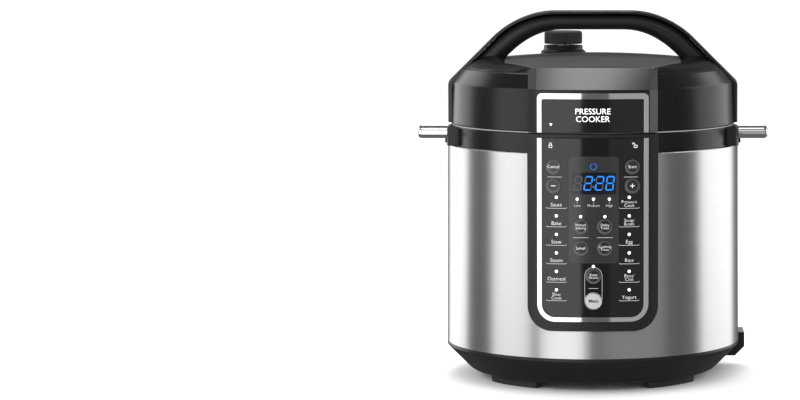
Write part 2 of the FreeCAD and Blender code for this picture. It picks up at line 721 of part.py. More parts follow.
# ---- side handles -----------------------------------------------------------
def screw_holes():
    """Clearance holes for the screws that hold the side handles."""
    x0 = COLLAR_R - 13.5
    length = GRIP_X0 + 11 - x0
    holes = []
    for y in (-GRIP_SCREW_Y, GRIP_SCREW_Y):
        for sign in (-1, 1):
            start = V(sign * x0, y, GRIP_SCREW_Z)
            holes.append(Part.makeCylinder(GRIP_SCREW_R + FIT, length, start, V(sign, 0, 0)))
    return holes


def grip_outline(inset):
    x1 = GRIP_X1 - inset
    y1 = GRIP_HALF_W - inset
    shoulder = x1 - GRIP_BOW
    return [
        (GRIP_X0, -y1), (shoulder, -y1, 9.0), (x1, -y1 / 3, 60.0), (x1, y1 / 3, 60.0),
        (shoulder, y1, 9.0), (GRIP_X0, y1),
    ]


def side_handles():
    seam = GRIP_Z1 - 3.6
    lower = prism_z(grip_outline(0), GRIP_Z0, seam - 1.0)
    lower = lower.makeFillet(2.4, [
        e for e in lower.Edges
        if e.BoundBox.ZMax < GRIP_Z0 + 0.01 and e.BoundBox.XMax > GRIP_X0 + 0.5
    ])
    upper = prism_z(grip_outline(0), seam, GRIP_Z1)
    upper = upper.makeFillet(1.6, [
        e for e in upper.Edges
        if e.BoundBox.ZMin > GRIP_Z1 - 0.01 and e.BoundBox.XMax > GRIP_X0 + 0.5
    ])
    neck = prism_z(grip_outline(0.8), seam - 1.5, seam + 0.5)
    right = cut(fuse(lower, [neck, upper]), *screw_holes())
    return [right, mirror_x(right)]


def handle_roots():
    core = body_core(FIT)
    block = prism_z([
        (COLLAR_R - 17.5, -ROOT_HALF_W), (ROOT_X1, -ROOT_HALF_W, 9.0),
        (ROOT_X1, ROOT_HALF_W, 9.0), (COLLAR_R - 17.5, ROOT_HALF_W),
    ], ROOT_Z0, COLLAR_Z1 - FIT)
    hooks = [box(ROOT_X1 - 1, ROOT_X1 + 3.5, side * 9 - 3, side * 9 + 3, ROOT_Z0, GRIP_Z0 - FIT)
             for side in (-1, 1)]
    right = cut(fuse(block, hooks), core, *screw_holes())
    return [right, mirror_x(right)]


def assembly_screws():
    cover_z = FLOOR_Z + RUN
    bracket_z = HEATER_Z0 - 2.5
    head = post(COVER_SCREW_R, 0, cover_z - SCREW_HEAD_T, cover_z, SCREW_HEAD_R)
    cover_screw = fuse(head, [post(COVER_SCREW_R, 0, cover_z - 1, FLOOR_Z + FLOOR_T, SCREW_R)])
    head = post(HEATER_SCREW_R, 0, bracket_z - SCREW_HEAD_T, bracket_z, SCREW_HEAD_R)
    shank = post(HEATER_SCREW_R, 0, bracket_z - 1, HEATER_Z0 + LOCK_WALL, SCREW_R)
    heater_screw = fuse(head, [shank])
    inside = math.sqrt((COLLAR_R - COLLAR_WALL) ** 2 - (GRIP_SCREW_Y + 4) ** 2) - PLY
    screws = around(cover_screw, COVER_SCREW_AZIMUTHS) + around(heater_screw, HEATER_SCREW_AZIMUTHS)
    for y in (-GRIP_SCREW_Y, GRIP_SCREW_Y):
        head = Part.makeCylinder(3.6, 2.2, V(inside - 2.2, y, GRIP_SCREW_Z), V(1, 0, 0))
        shank = Part.makeCylinder(GRIP_SCREW_R, GRIP_X0 + 10 - inside + 1,
                                  V(inside - 1, y, GRIP_SCREW_Z), V(1, 0, 0))
        screw = fuse(head, [shank])
        screws += [screw, mirror_x(screw)]
    return screws


# ---- power inlet ------------------------------------------------------------
def power_inlet():
    socket = box(SOCKET_X - SOCKET_W / 2, SOCKET_X + SOCKET_W / 2, INLET_Y1 - SOCKET_DEPTH,
                 INLET_Y1 + 1, SOCKET_Z - SOCKET_H / 2, SOCKET_Z + SOCKET_H / 2)
    core = revolve([(0, BODY_Z0 - FIT), (BODY_R + FIT, BODY_Z0 - FIT), (BODY_R + FIT, BODY_Z0 + 9),
                    (0, BODY_Z0 + 9)])
    return [cut(inlet_block(), socket, core)]


def inlet_pins():
    back = INLET_Y1 - SOCKET_DEPTH
    places = [(-4.2, -3.0), (4.2, -3.0), (0.0, 4.2)]
    return [rod(SOCKET_X + dx, SOCKET_Z + dz, back, INLET_Y1 - 4, PIN_R) for dx, dz in places]


# ---- condensation cup and lid lever -----------------------------------------
LEVER_AT = FRONT + 17.0
LEVER_R = LOCK_R + 8.0


def condensation_cup():
    outline = [
        (-CUP_HALF_W, CUP_Y0, 4.0), (CUP_HALF_W, CUP_Y0, 4.0), (CUP_HALF_W, CUP_Y1, 7.0),
        (-CUP_HALF_W, CUP_Y1, 7.0),
    ]
    w = CUP_HALF_W - CUP_WALL
    hollow = [
        (-w, CUP_Y0 + CUP_WALL, 2.6), (w, CUP_Y0 + CUP_WALL, 2.6), (w, CUP_Y1 - CUP_WALL, 5.6),
        (-w, CUP_Y1 - CUP_WALL, 5.6),
    ]
    body = prism_z(outline, CUP_Z0, CUP_Z1)
    runners = [box(min(side * (CUP_HALF_W - 1), side * (CUP_HALF_W + CUP_BAY - RUN)),
                   max(side * (CUP_HALF_W - 1), side * (CUP_HALF_W + CUP_BAY - RUN)),
                   CUP_Y0 + 4, CUP_Y1 - 8, CUP_Z1 - 5, CUP_Z1 - 2) for side in (-1, 1)]
    return [cut(fuse(body, runners), prism_z(hollow, CUP_Z0 + CUP_WALL, CUP_Z1 + 1))]


def lid_lever():
    under = COLLAR_Z1 - COLLAR_WALL - RUN
    stem = sector(LEVER_R - 1.2, LEVER_R + 1.2, under - 1, TAB_Z0 - 0.6, LEVER_AT, 3.0)
    flange = sector(LEVER_R - 3.0, LEVER_R + 3.0, under - 2.2, under, LEVER_AT, 5.0)
    return [fuse(stem, [flange])]


# ---- inner pot and sealing ring ---------------------------------------------
def inner_pot():
    flange = LOCK_Z1 - POT_RIM_T
    inner = POT_R - POT_WALL
    floor_z = POT_Z0 + POT_FLOOR_T
    return [revolve([
        (0, POT_Z0), (POT_R, POT_Z0, POT_CORNER_R), (POT_R, flange), (POT_RIM_R, flange),
        (POT_RIM_R, LOCK_Z1, 0.7), (inner, LOCK_Z1, 2.2),
        (inner, floor_z, POT_CORNER_R - POT_WALL), (0, floor_z),
    ])]


def sealing_ring():
    z0 = LOCK_Z1 + RUN
    z1 = INNER_CEILING - RUN
    third = (z1 - z0) / 4
    return [revolve([
        (SEAL_R0, z0), (SEAL_R1, z0, 2.0), (SEAL_R1, z1, 2.0), (SEAL_R0, z1),
        (SEAL_R0, z1 - third), (SEAL_R1 - 4, z1 - third * 1.6), (SEAL_R1 - 4, z0 + third * 1.6),
        (SEAL_R0, z0 + third),
    ])]


# ---- lid --------------------------------------------------------------------
def slope_region(drop):
    """Everything above the fascia's slope, lowered by drop, across the slope's width."""
    back = -PLATE_FRONT_D - FIT + drop / 10
    half = FASCIA_FACE_HALF_W - 1.0 + drop / 10
    fall = (FASCIA_TOP_Z - FASCIA_Z1) / (FACE_D - 1 - PLATE_FRONT_D - FIT)
    front = -FACE_D - 10
    low = FASCIA_TOP_Z - drop - fall * (back - front)
    flat = back + FASCIA_TOP_BOW + FIT
    return prism_x([(flat, FASCIA_TOP_Z - drop), (back, FASCIA_TOP_Z - drop),
                    (front, low), (front, FAR), (flat, FAR)], -half, half)


def plate_outline(gap=0.0):
    f = PLATE_FRONT_HALF_W + gap / 2
    w = PLATE_HALF_W + gap
    return [
        (-f, -PLATE_FRONT_D - gap, 3.0), (f, -PLATE_FRONT_D - gap, 3.0), (w, -62, 24.0),
        (w, 58, 24.0), (f, PLATE_BACK, 30.0), (-f, PLATE_BACK, 30.0), (-w, 58, 24.0),
        (-w, -62, 24.0),
    ]


def lid_housing():
    top = SHELF_Z - LID_WALL
    shell = revolve([
        (LID_R0 - LID_WALL, LID_Z0), (LID_R0, LID_Z0, 0.8), (LID_R1, SHOULDER_Z, 5.0),
        (SHELF_R, SHELF_Z, 3.0), (0, SHELF_Z), (0, top), (SHELF_R - 1, top, 2.0),
        (LID_R1 - LID_WALL, SHOULDER_Z - 1, 3.0),
    ])
    bosses = around(post(LID_R0 - 42.5, 0, INNER_LID_Z1, top + 0.5, 5.0),
                    [45, 135, 225, 315])
    holes = [
        post(VALVE_X, VALVE_Y, SHELF_Z - 20, SHELF_Z + 1, PIPE_R + 2),
        post(FLOAT_X, VALVE_Y, SHELF_Z - 20, SHELF_Z + 1, FLOAT_R + RUN),
    ]
    return [cut(fuse(shell, bosses), slope_region(SLOPE_SKIN), *holes)]


def lid_top_plate():
    slab = prism_z(plate_outline(), SHELF_Z, CROWN_Z + 5).common(crown())
    holes = [
        post(VALVE_X, VALVE_Y, SHELF_Z - 1, CROWN_Z + 1, VALVE_NECK_R + FIT),
        post(FLOAT_X, VALVE_Y, SHELF_Z - 1, CROWN_Z + 1, FLOAT_R + RUN),
    ]
    return [cut(slab, *holes)]


def fascia_plan(depth, bow, z):
    """Outline of the fascia at one height: a front that bows, with a bevel down each side."""
    face = FASCIA_FACE_HALF_W
    edge = depth - bow
    side = FASCIA_HALF_W
    foot = edge - FASCIA_BEVEL
    back = PLATE_FRONT_D - 32.0
    line = [(face, edge), (side, foot), (side, back), (-side, back), (-side, foot), (-face, edge)]
    corners = [V(x, -d, z) for x, d in line]
    edges = [Part.Arc(corners[-1], V(0, -depth, z), corners[0]).toShape()]
    edges += [Part.LineSegment(a, b).toShape() for a, b in zip(corners, corners[1:])]
    return Part.Wire(edges)


def lid_fascia():
    z0 = LID_Z0 + FIT
    bow = FACE_D - face_depth(FASCIA_FACE_HALF_W, FACE_D)
    lower = Part.Face(fascia_plan(FACE_D, bow, z0)).extrude(V(0, 0, FASCIA_Z1 - z0))
    slope = Part.makeLoft([
        fascia_plan(FACE_D - 1.0, bow, FASCIA_Z1),
        fascia_plan(PLATE_FRONT_D + FIT, FASCIA_TOP_BOW, FASCIA_TOP_Z)], True, True)
    window = prism_y([
        (-TRIM_HALF_W - FIT, z0 - 5), (TRIM_HALF_W + FIT, z0 - 5),
        (TRIM_HALF_W + FIT, FASCIA_Z1 - 3.1, 5.0), (-TRIM_HALF_W - FIT, FASCIA_Z1 - 3.1, 5.0),
    ], -FACE_D - 20, -FACE_D + 50).common(face_layer(OVERLAY_BACK - FIT, FACE_D + 20, 0, FAR))
    groove = face_layer(FACE_D - 1.6, FACE_D + 20, FASCIA_Z1 - 2.3, FASCIA_Z1 - 0.8)
    groove = groove.common(box(-TRIM_HALF_W, TRIM_HALF_W, -FAR, 0, 0, FAR))
    core = lid_core(FIT).cut(slope_region(SLOPE_SKIN - FIT))
    plate = prism_z(plate_outline(FIT), SHELF_Z - 5, CROWN_Z + 5)
    body = cut(fuse(lower, [slope]), core, plate, window, groove)
    return [max(body.Solids, key=lambda piece: piece.Volume)]


FASCIA_TRIM_Z1 = FASCIA_Z1 - 3.3


def fascia_trim():
    z0 = LID_Z0 + 2 * FIT
    inner_half = TRIM_HALF_W - TRIM_W
    outer = [
        (-TRIM_HALF_W, z0), (TRIM_HALF_W, z0), (TRIM_HALF_W, FASCIA_TRIM_Z1, 4.8),
        (-TRIM_HALF_W, FASCIA_TRIM_Z1, 4.8),
    ]
    inner = [
        (-inner_half, z0 - 5), (inner_half, z0 - 5), (inner_half, FASCIA_TRIM_Z1 - 5.6, 2.0),
        (-inner_half, FASCIA_TRIM_Z1 - 5.6, 2.0),
    ]
    sheet = panel_sheet(outer, OVERLAY_BACK, FACE_D + TRIM_PROUD)
    return [sheet.cut(prism_y(inner, -FACE_D - 20, -FACE_D + 50))]


def fascia_panel():
    half = TRIM_HALF_W - TRIM_W - FIT
    z0 = LID_Z0 + 2 * FIT
    z1 = FASCIA_TRIM_Z1 - 5.6 - FIT
    return [panel_sheet([(-half, z0), (half, z0), (half, z1, 1.8), (-half, z1, 1.8)],
                        OVERLAY_BACK, OVERLAY_D)]


def arch(offset, z0):
    """(x, z) corners of the handle's outline, offset inwards: flat top, two 45 degree
    runs joined to it by large arcs, then down the lid's side to z0."""
    lean = ARCH_Z + ARCH_FLAT + ARCH_R * math.tan(math.radians(22.5)) - offset * math.sqrt(2)
    top = ARCH_Z - offset
    side = ARCH_HALF_W - offset
    knee = lean - top
    radius = ARCH_R - offset
    return [
        (-side, z0), (-side, lean - side, 9.0), (-knee, top, radius), (knee, top, radius),
        (side, lean - side, 9.0), (side, z0),
    ]


def handle_cap():
    outer = prism_y(arch(0, STRAP_Z0), -STRAP_HALF_D, STRAP_HALF_D)
    inner = prism_y(arch(STRAP_T, STRAP_Z0 - 30), -STRAP_HALF_D - 1, STRAP_HALF_D + 1)
    return [cut(outer, inner, lid_core(FIT))]


def handle_grip():
    root = HANDLE_ROOT_X
    bend_z = UNDERSIDE_Z - 26.5
    haunch_z = UNDERSIDE_Z - 12.5
    outer = prism_y(arch(STRAP_T + PLY, STRAP_Z0), -GRIP_HALF_D, GRIP_HALF_D)
    below = box(-FAR, FAR, -FAR, FAR, 0, SHELF_Z + FIT)
    under = prism_y([
        (-root, 0), (-root, bend_z, 3.0), (18 - root, haunch_z, 40.0),
        (53 - root, UNDERSIDE_Z, 60.0), (root - 53, UNDERSIDE_Z, 60.0),
        (root - 18, haunch_z, 40.0), (root, bend_z, 3.0), (root, 0),
    ], -GRIP_HALF_D - 1, GRIP_HALF_D + 1)
    return [cut(outer, under, below)]


def pressure_lid():
    inner = INNER_LID_R - INNER_LID_T
    dome = revolve([
        (inner, TAB_Z0), (INNER_LID_R, TAB_Z0), (INNER_LID_R, INNER_LID_Z1, 5.0),
        (0, INNER_LID_Z1), (0, INNER_CEILING), (inner, INNER_CEILING, 3.4),
    ])
    tab = sector(TAB_R, inner + 0.5, TAB_Z0, TAB_Z0 + TAB_T, LOCKED_AT, TAB_DEG)
    tabs = around(tab, [PITCH * i for i in range(LUG_COUNT)])
    holes = [
        post(VALVE_X, VALVE_Y, INNER_CEILING - 2, INNER_LID_Z1 + 1, PIPE_R + PLY),
        post(FLOAT_X, VALVE_Y, INNER_CEILING - 2, INNER_LID_Z1 + 1, FLOAT_R + RUN),
    ]
    return [cut(fuse(dome, tabs), *holes)]


def gasket_rack():
    wire = 1.2
    radius = SEAL_R0 - 2.0
    ring_z = INNER_CEILING - 4.0
    ring = Part.makeTorus(radius, wire, V(0, 0, ring_z))
    clips = around(post(radius, 0, ring_z, INNER_CEILING, wire * 0.8), range(0, 360, 60))
    return [fuse(ring, clips)]


def anti_block_shield():
    z0 = INNER_CEILING - 15.0
    outer = 13.0
    wall = 1.0
    cap = revolve([
        (0, z0), (outer, z0, 3.0), (outer, INNER_CEILING), (outer - wall, INNER_CEILING),
        (outer - wall, z0 + wall, 2.0), (0, z0 + wall),
    ])
    slots = around(box(8, 20, -1.2, 1.2, z0 + 4, INNER_CEILING - 3), range(0, 360, 45))
    cap = cut(cap, *slots)
    cap.translate(V(VALVE_X, VALVE_Y, 0))
    return [cap]


def at_valve(solid, x=VALVE_X):
    solid.translate(V(x, VALVE_Y, 0))
    return solid


def valve_base():
    near = math.hypot(VALVE_X, VALVE_Y) - VALVE_FLANGE_R
    radius = (CROWN_SPAN ** 2 + CROWN_DROP ** 2) / (2 * CROWN_DROP)
    flange_z = CROWN_Z - radius + math.sqrt(radius ** 2 - near ** 2) + FIT
    bore = PIPE_R + PLY
    return [at_valve(revolve([
        (bore, SHELF_Z), (VALVE_NECK_R, SHELF_Z), (VALVE_NECK_R, flange_z),
        (VALVE_FLANGE_R, flange_z), (VALVE_FLANGE_R, flange_z + 2.4, 0.9),
        (VALVE_NECK_R - 1, flange_z + 2.4), (VALVE_NECK_R - 1, VALVE_TOP_Z, 1.2),
        (bore, VALVE_TOP_Z),
    ]))]


def valve_pipe():
    return [at_valve(revolve([
        (PIPE_BORE_R, INNER_CEILING - 6), (PIPE_R, INNER_CEILING - 6), (PIPE_R, KNOB_Z0 + 7),
        (PIPE_BORE_R, KNOB_Z0 + 7),
    ]))]


def steam_release_knob():
    bore = PIPE_R + KNOB_BORE_GAP
    body = revolve([
        (bore, KNOB_Z0), (KNOB_R, KNOB_Z0, 1.0), (KNOB_R, KNOB_Z1, 3.2), (0, KNOB_Z1),
        (0, KNOB_Z0 + 8), (bore, KNOB_Z0 + 8),
    ])
    pointer = prism_z([
        (3.0, KNOB_R + 3.4, 1.5), (-3.0, KNOB_R + 3.4, 1.5), (-5.0, KNOB_R - 4),
        (5.0, KNOB_R - 4),
    ], KNOB_Z0 + 2, KNOB_Z1 - 2)
    flutes = [post(math.cos(a) * (KNOB_R + 0.9), math.sin(a) * (KNOB_R + 0.9), KNOB_Z0 - 1,
                   KNOB_Z1 + 1, 1.6)
              for a in [math.radians(15.0 * i) for i in range(24)] if math.sin(a) < 0.95]
    return [at_valve(fuse(cut(body, *flutes), [pointer]))]


def float_valve():
    head = INNER_CEILING - FLOAT_TRAVEL - 2.1
    top = CROWN_Z - 2.2
    return [at_valve(fuse(post(0, 0, head - 3, head, 5.0), [post(0, 0, head - 1, top, FLOAT_R)]),
                     FLOAT_X)]


def float_seal():
    z0 = INNER_CEILING - FLOAT_TRAVEL - 2.1
    ring = post(0, 0, z0, z0 + 1.8, 5.4).cut(post(0, 0, z0 - 1, z0 + 3, FLOAT_R + PLY / 2))
    return [at_valve(ring, FLOAT_X)]


PIECES = [
    base_housing, bottom_cover, rubber_feet, steel_wall, collar_ring, outer_cooker,
    heating_plate, heating_element, heater_bracket, sensor_bracket, sensor_spring, sensor_cap,
    pressure_switch, heat_shield, power_board, board_components, display_board, display_module,
    key_switches, panel_frame, panel_bezel, panel_trim, panel_overlay, indicator_lenses,
    side_handles, handle_roots, assembly_screws, power_inlet, inlet_pins, condensation_cup,
    lid_lever, inner_pot, sealing_ring, lid_housing, lid_top_plate, lid_fascia, fascia_trim,
    fascia_panel, handle_cap, handle_grip, pressure_lid, gasket_rack, anti_block_shield,
    valve_base, valve_pipe, steam_release_knob, float_valve, float_seal,
]


def export(name, solids):
    whole = []
    for shape in solids:
        whole += shape.Solids
    bad = [i for i, s in enumerate(whole) if not s.isValid()]
    shape = whole[0] if len(whole) == 1 else Part.makeCompound(whole)
    shape.exportStep(os.path.join("parts", name + ".step"))
    print(f"{name:20s} solids {len(whole):2d}  volume {shape.Volume:10.1f}  bad {bad}")


os.makedirs("parts", exist_ok=True)
for piece in PIECES:
    export(piece.__name__, piece())
for key_name, key_x, key_z, key_r in KEYS:
    export("key_" + key_name, key(key_x, key_z, key_r))
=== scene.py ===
import math

import bmesh
import bpy
import numpy as np
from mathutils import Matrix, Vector
from bpy.props import FloatProperty, FloatVectorProperty, IntProperty, PointerProperty


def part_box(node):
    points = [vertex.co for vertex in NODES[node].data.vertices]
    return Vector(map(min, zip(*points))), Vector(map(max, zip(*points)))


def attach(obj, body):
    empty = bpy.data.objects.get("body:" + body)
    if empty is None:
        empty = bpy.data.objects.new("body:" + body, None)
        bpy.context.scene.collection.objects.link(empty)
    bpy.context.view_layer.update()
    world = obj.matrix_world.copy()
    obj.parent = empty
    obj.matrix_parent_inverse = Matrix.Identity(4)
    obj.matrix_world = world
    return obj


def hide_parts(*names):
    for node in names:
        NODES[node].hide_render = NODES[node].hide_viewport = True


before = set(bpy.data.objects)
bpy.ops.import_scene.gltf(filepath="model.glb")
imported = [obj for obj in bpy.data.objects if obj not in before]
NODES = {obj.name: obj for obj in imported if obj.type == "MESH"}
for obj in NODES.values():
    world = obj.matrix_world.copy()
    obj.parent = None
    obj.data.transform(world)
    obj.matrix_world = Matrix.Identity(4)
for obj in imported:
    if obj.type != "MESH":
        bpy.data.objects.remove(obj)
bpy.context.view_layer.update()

bl_info = {
    "name": "Pressure Cooker Finishes",
    "version": (1, 0, 0),
    "blender": (4, 5, 0),
    "location": "3D View > Sidebar > Cooker",
    "description": "Finishes, printed marks and studio for an electric pressure cooker",
    "category": "Add Mesh",
}

MM = 0.001

# ---- sizes taken over from the frame, in millimetres -------------------------
FACE_AXIS = 90.0      # the panel's face is an arc about the upright line y = 90
FACE_D = 150.0        # how far key faces stand in front of the pot's axis
OVERLAY_D = 149.7     # the same for the printed overlay
INK_T = 0.05          # thickness of everything printed
SHELF_Z = 311.5       # flat top of the lid's wall
SHELF_EDGE = 128.8
CROWN_Z = 325.5
CROWN_R = 1011.3      # radius of the top plate's dome
PLATE_FRONT_Y = -118.3
PLATE_REAR_Y = 112.3
ARCH_Z = 369.0
ARCH_LEAN = 443.69    # x + z on the handle's 45 degree runs
ARCH_SIDE = 146.4
ARCH_R = 91.0
STRAP_FOOT_Z = 256.6
STRAP_T = 3.6
STRAP_HALF_D = 15.5
STRAP_GAP = 0.15      # between the strap and the grip under it
GRIP_HALF_D = 17.0
GRIP_UNDER_Z = 349.6  # the grip's underside at its middle
GRIP_FLAT = 30.0      # half length of the underside's level part
GRIP_SPAN = 58.0      # from there to the root, sideways
GRIP_FALL = 28.4      # and downwards
SIDE_HANDLE_X = 143.0  # where the side handles enter the body
SIDE_HANDLE_NOSE = 5.0
VALVE = (-30.4, 60.0)
VALVE_BORE_R = 6.2
COLLAR_R = 19.7       # neck of the valve's collar
COLLAR_FLARE = 3.3
COLLAR_FLARE_Z = (324.9, 329.0)
COLLAR_TOP_Z = 331.0
KNOB_R = 19.5
KNOB_Z = (332.6, 345.7)
KNOB_POINTER = 3.0
SEAM_R = (139.0, 142.9)
SEAM_Z = (254.85, 255.75)
KEY_FACE_GAP = 0.6    # from a key's box to the edge of the key's disc, where its painted rim highlight ends
DISPLAY_X = (-20.2, 22.3)
DISPLAY_Z = 207.45
DISPLAY_HIGH = 21.1
DIGIT_Z = 207.6
DIGIT_XS = (-14.4, -4.4, 6.6, 16.6)
DIGIT_BARS = ("", "abged", "abged", "abcdefg")
CLOCK = (0.6, 223.6)
CLOCK_LAMP_Z = 219.0  # the clock's lamp lies above this height, the white ones below
FIELD_MIDDLE = (1.0, 181.65)
FIELD_HALF = (23.8, 51.45)
FIELD_CORNER = 4.2
COLUMN_X = 35.2
ROW_TOP_Z = 193.8
ROW_PITCH = 17.99
MIDDLE_X = 0.6        # the panel's middle column

KEY_NAMES = ["cancel", "minus", "start", "plus", "manual", "delay", "level", "timer",
             "warm", "menu"]


# ---- settings -----------------------------------------------------------------
def colour(name, description, default):
    return FloatVectorProperty(name=name, description=description, default=default,
                               subtype="COLOR", size=3, min=0.0, max=1.0)


def length(name, description, default):
    """A length property whose default is given in millimetres."""
    return FloatProperty(name=name, description=description, default=default * MM,
                         unit="LENGTH", subtype="DISTANCE", precision=5)


def share(name, description, default):
    return FloatProperty(name=name, description=description, default=default, min=0.0,
                         soft_max=1.0, subtype="FACTOR")


class CookerSizes(bpy.types.PropertyGroup):
    strap_crown: length("Strap crown", "How much the strap's edges lie below its middle", 0.7)
    strap_edge: length("Strap edge", "Width of the strap's rounded edges", 2.4)
    grip_roundness: FloatProperty(
        name="Grip roundness", description="Exponent of the grip's section; 2 is an ellipse",
        default=2.35, min=2.0, max=6.0)
    mound_rise: length("Mound rise", "How far the lid swells up beside the handle", 5.5)
    rib_count: IntProperty(name="Ribs", description="Fine ribs round the steam knob",
                           default=84, min=12, max=160)
    rib_depth: length("Rib depth", "Depth of the knob's ribs", 0.45)
    rim_width: length("Key rim width", "Width of the raised bead round each key", 0.9)
    rim_height: length("Key rim height", "Height of the bead round each key", 0.32)
    letter_size: length("Letter size", "Size of the printed programme names", 5.1)
    line_width: length("Line width", "Width of the printed lines", 0.42)


class CookerColours(bpy.types.PropertyGroup):
    steel: colour("Steel", "Brushed steel of the body", (0.66, 0.66, 0.66))
    gloss: colour("Gloss black", "Polished black plastic", (0.005, 0.005, 0.0055))
    satin: colour("Satin black", "Moulded black plastic", (0.009, 0.009, 0.0095))
    plate: colour("Top plate", "Dark grey plastic of the lid's top", (0.05, 0.051, 0.053))
    chrome: colour("Chrome", "Polished trim", (0.86, 0.86, 0.87))
    ink: colour("Ink", "Printed names and lines", (0.8, 0.8, 0.8))
    glow: colour("Glow", "Lit digits of the display", (0.02, 0.27, 0.95))
    lamp: colour("Lamp", "Lit indicator lamps", (1.0, 1.0, 1.0))
    coating: colour("Pot coating", "Non-stick coating of the pot", (0.055, 0.055, 0.06))
    floor: colour("Floor", "Studio floor", (0.95, 0.95, 0.95))


class StudioSettings(bpy.types.PropertyGroup):
    camera_distance: FloatProperty(name="Camera distance", description="From the pot's axis",
                                   default=2.95, unit="LENGTH")
    camera_height: FloatProperty(name="Camera height", description="Above the floor",
                                 default=0.471, unit="LENGTH")
    camera_tilt: FloatProperty(name="Camera tilt", description="Downwards from level",
                               default=math.radians(5.7), unit="ROTATION", subtype="ANGLE")
    camera_lens: FloatProperty(name="Lens", description="Focal length in millimetres",
                               default=131.4)
    camera_shift: FloatProperty(name="Shift", description="Sideways shift of the frame",
                                default=-0.241)
    room_level: share("Room level", "Brightness of the room that shines on the object", 1.1)
    room_gloss: share("Room in gloss", "Brightness of the room in reflections", 0.13)


# ---- shapes -------------------------------------------------------------------
def grid_faces(rows, cols, wrap_rows=False, wrap_cols=False):
    """Quads of a rows by cols grid of points; a wrapped direction joins its end to its start."""
    r = np.arange(rows if wrap_rows else rows - 1)[:, None]
    c = np.arange(cols if wrap_cols else cols - 1)[None, :]
    r2, c2 = (r + 1) % rows, (c + 1) % cols
    corners = [r * cols + c, r * cols + c2, r2 * cols + c2, r2 * cols + c]
    return np.stack(np.broadcast_arrays(*corners), -1).reshape(-1, 4).tolist()


def tube(rings):
    """A closed skin over rings, an array (ring, point, xyz): each ring is joined to the
    next, and the first and last are capped."""
    count, width = rings.shape[:2]
    faces = grid_faces(count, width, wrap_cols=True)
    faces.append(list(range(width))[::-1])
    faces.append(list(range((count - 1) * width, count * width)))
    return rings.reshape(-1, 3), faces


def lathe(profile, segments, centre=(0.0, 0.0), swell=None):
    """A closed (radius, z) profile turned about an upright line. swell(angle, z) is
    added to the radius: x = (r + swell) cos a, y = (r + swell) sin a."""
    profile = np.asarray(profile, float)
    angle = np.linspace(0, 2 * math.pi, segments, endpoint=False)[:, None]
    radius = profile[None, :, 0] + np.zeros_like(angle)
    z = profile[None, :, 1] + np.zeros_like(angle)
    if swell is not None:
        radius = radius + swell(angle, z, radius)
    x = centre[0] + radius * np.cos(angle)
    y = centre[1] + radius * np.sin(angle)
    points = np.stack([x, y, z], -1).reshape(-1, 3)
    return points, grid_faces(segments, len(profile), wrap_rows=True, wrap_cols=True)


def rounded_path(corners, closed=False, steps=14):
    """Straight runs joined by tangent arcs, through (u, v, radius) corners: an arc's
    centre lies on the corner's bisector at radius / sin(half the corner's angle)."""
    table = np.array(corners, float)
    spots, radii = table[:, :2], table[:, 2]
    pieces = []
    for i, here in enumerate(spots):
        ends = not closed and i in (0, len(spots) - 1)
        if ends or radii[i] == 0:
            pieces.append(here[None])
            continue
        back = spots[i - 1] - here
        ahead = spots[(i + 1) % len(spots)] - here
        back /= np.linalg.norm(back)
        ahead /= np.linalg.norm(ahead)
        half = 0.5 * math.acos(float(np.clip(back @ ahead, -1, 1)))
        start = here + back * radii[i] / math.tan(half)
        end = here + ahead * radii[i] / math.tan(half)
        middle = (back + ahead) / np.linalg.norm(back + ahead)
        centre = here + middle * radii[i] / math.sin(half)
        first = math.atan2(*(start - centre)[::-1])
        sweep = math.atan2(*(end - centre)[::-1]) - first
        sweep = (sweep + math.pi) % (2 * math.pi) - math.pi
        turn = first + sweep * np.linspace(0, 1, steps)
        pieces.append(centre + radii[i] * np.stack([np.cos(turn), np.sin(turn)], -1))
    return np.concatenate(pieces)


def even(points, count, closed=False):
    """The same line with count points, evenly spaced along its length."""
    line = np.concatenate([points, points[:1]]) if closed else points
    run = np.concatenate([[0], np.cumsum(np.linalg.norm(np.diff(line, axis=0), axis=1))])
    at = np.linspace(0, run[-1], count, endpoint=not closed)
    return np.stack([np.interp(at, run, line[:, k]) for k in range(line.shape[1])], -1)


def line_normals(points, closed=False):
    """Unit normals of a flat line, to the left of its direction."""
    if closed:
        along = np.roll(points, -1, 0) - np.roll(points, 1, 0)
    else:
        along = np.gradient(points, axis=0)
    along = along / np.linalg.norm(along, axis=1, keepdims=True)
    return np.stack([-along[:, 1], along[:, 0]], -1)


def face_y(x, depth):
    """y of a panel layer: an arc of radius FACE_AXIS + depth about the line y = FACE_AXIS."""
    return FACE_AXIS - np.sqrt((FACE_AXIS + depth) ** 2 - np.asarray(x) ** 2)


def on_face(flat, depth):
    """(x, z) points laid on the panel's curve at a depth."""
    return np.stack([flat[..., 0], face_y(flat[..., 0], depth), flat[..., 1]], -1)


def stroke(points, width, depth, thick=INK_T, closed=False):
    """A flat band along (x, z) points on the panel's curve: a rectangle of width by
    thick carried along the line, in steps short enough to follow the curve."""
    points = np.asarray(points, float)
    run = np.linalg.norm(np.diff(points, axis=0), axis=1).sum()
    points = even(points, max(len(points), 2 + int(run / 1.2)), closed)
    side = line_normals(points, closed) * width / 2
    left, right = points + side, points - side
    rings = np.stack([on_face(left, depth + thick), on_face(right, depth + thick),
                      on_face(right, depth), on_face(left, depth)], 1)
    if closed:
        return rings.reshape(-1, 3), grid_faces(len(points), 4, wrap_rows=True, wrap_cols=True)
    return tube(rings)


def slab(outline, depth, thick=INK_T):
    """A flat plate of (x, z) outline on the panel's curve, thick from back to front."""
    outline = np.asarray(outline, float)
    return tube(np.stack([on_face(outline, depth), on_face(outline, depth + thick)]))


def arc(x, z, radius, start, stop, steps=24):
    turn = np.radians(np.linspace(start, stop, steps))
    return np.stack([x + radius * np.cos(turn), z + radius * np.sin(turn)], -1)


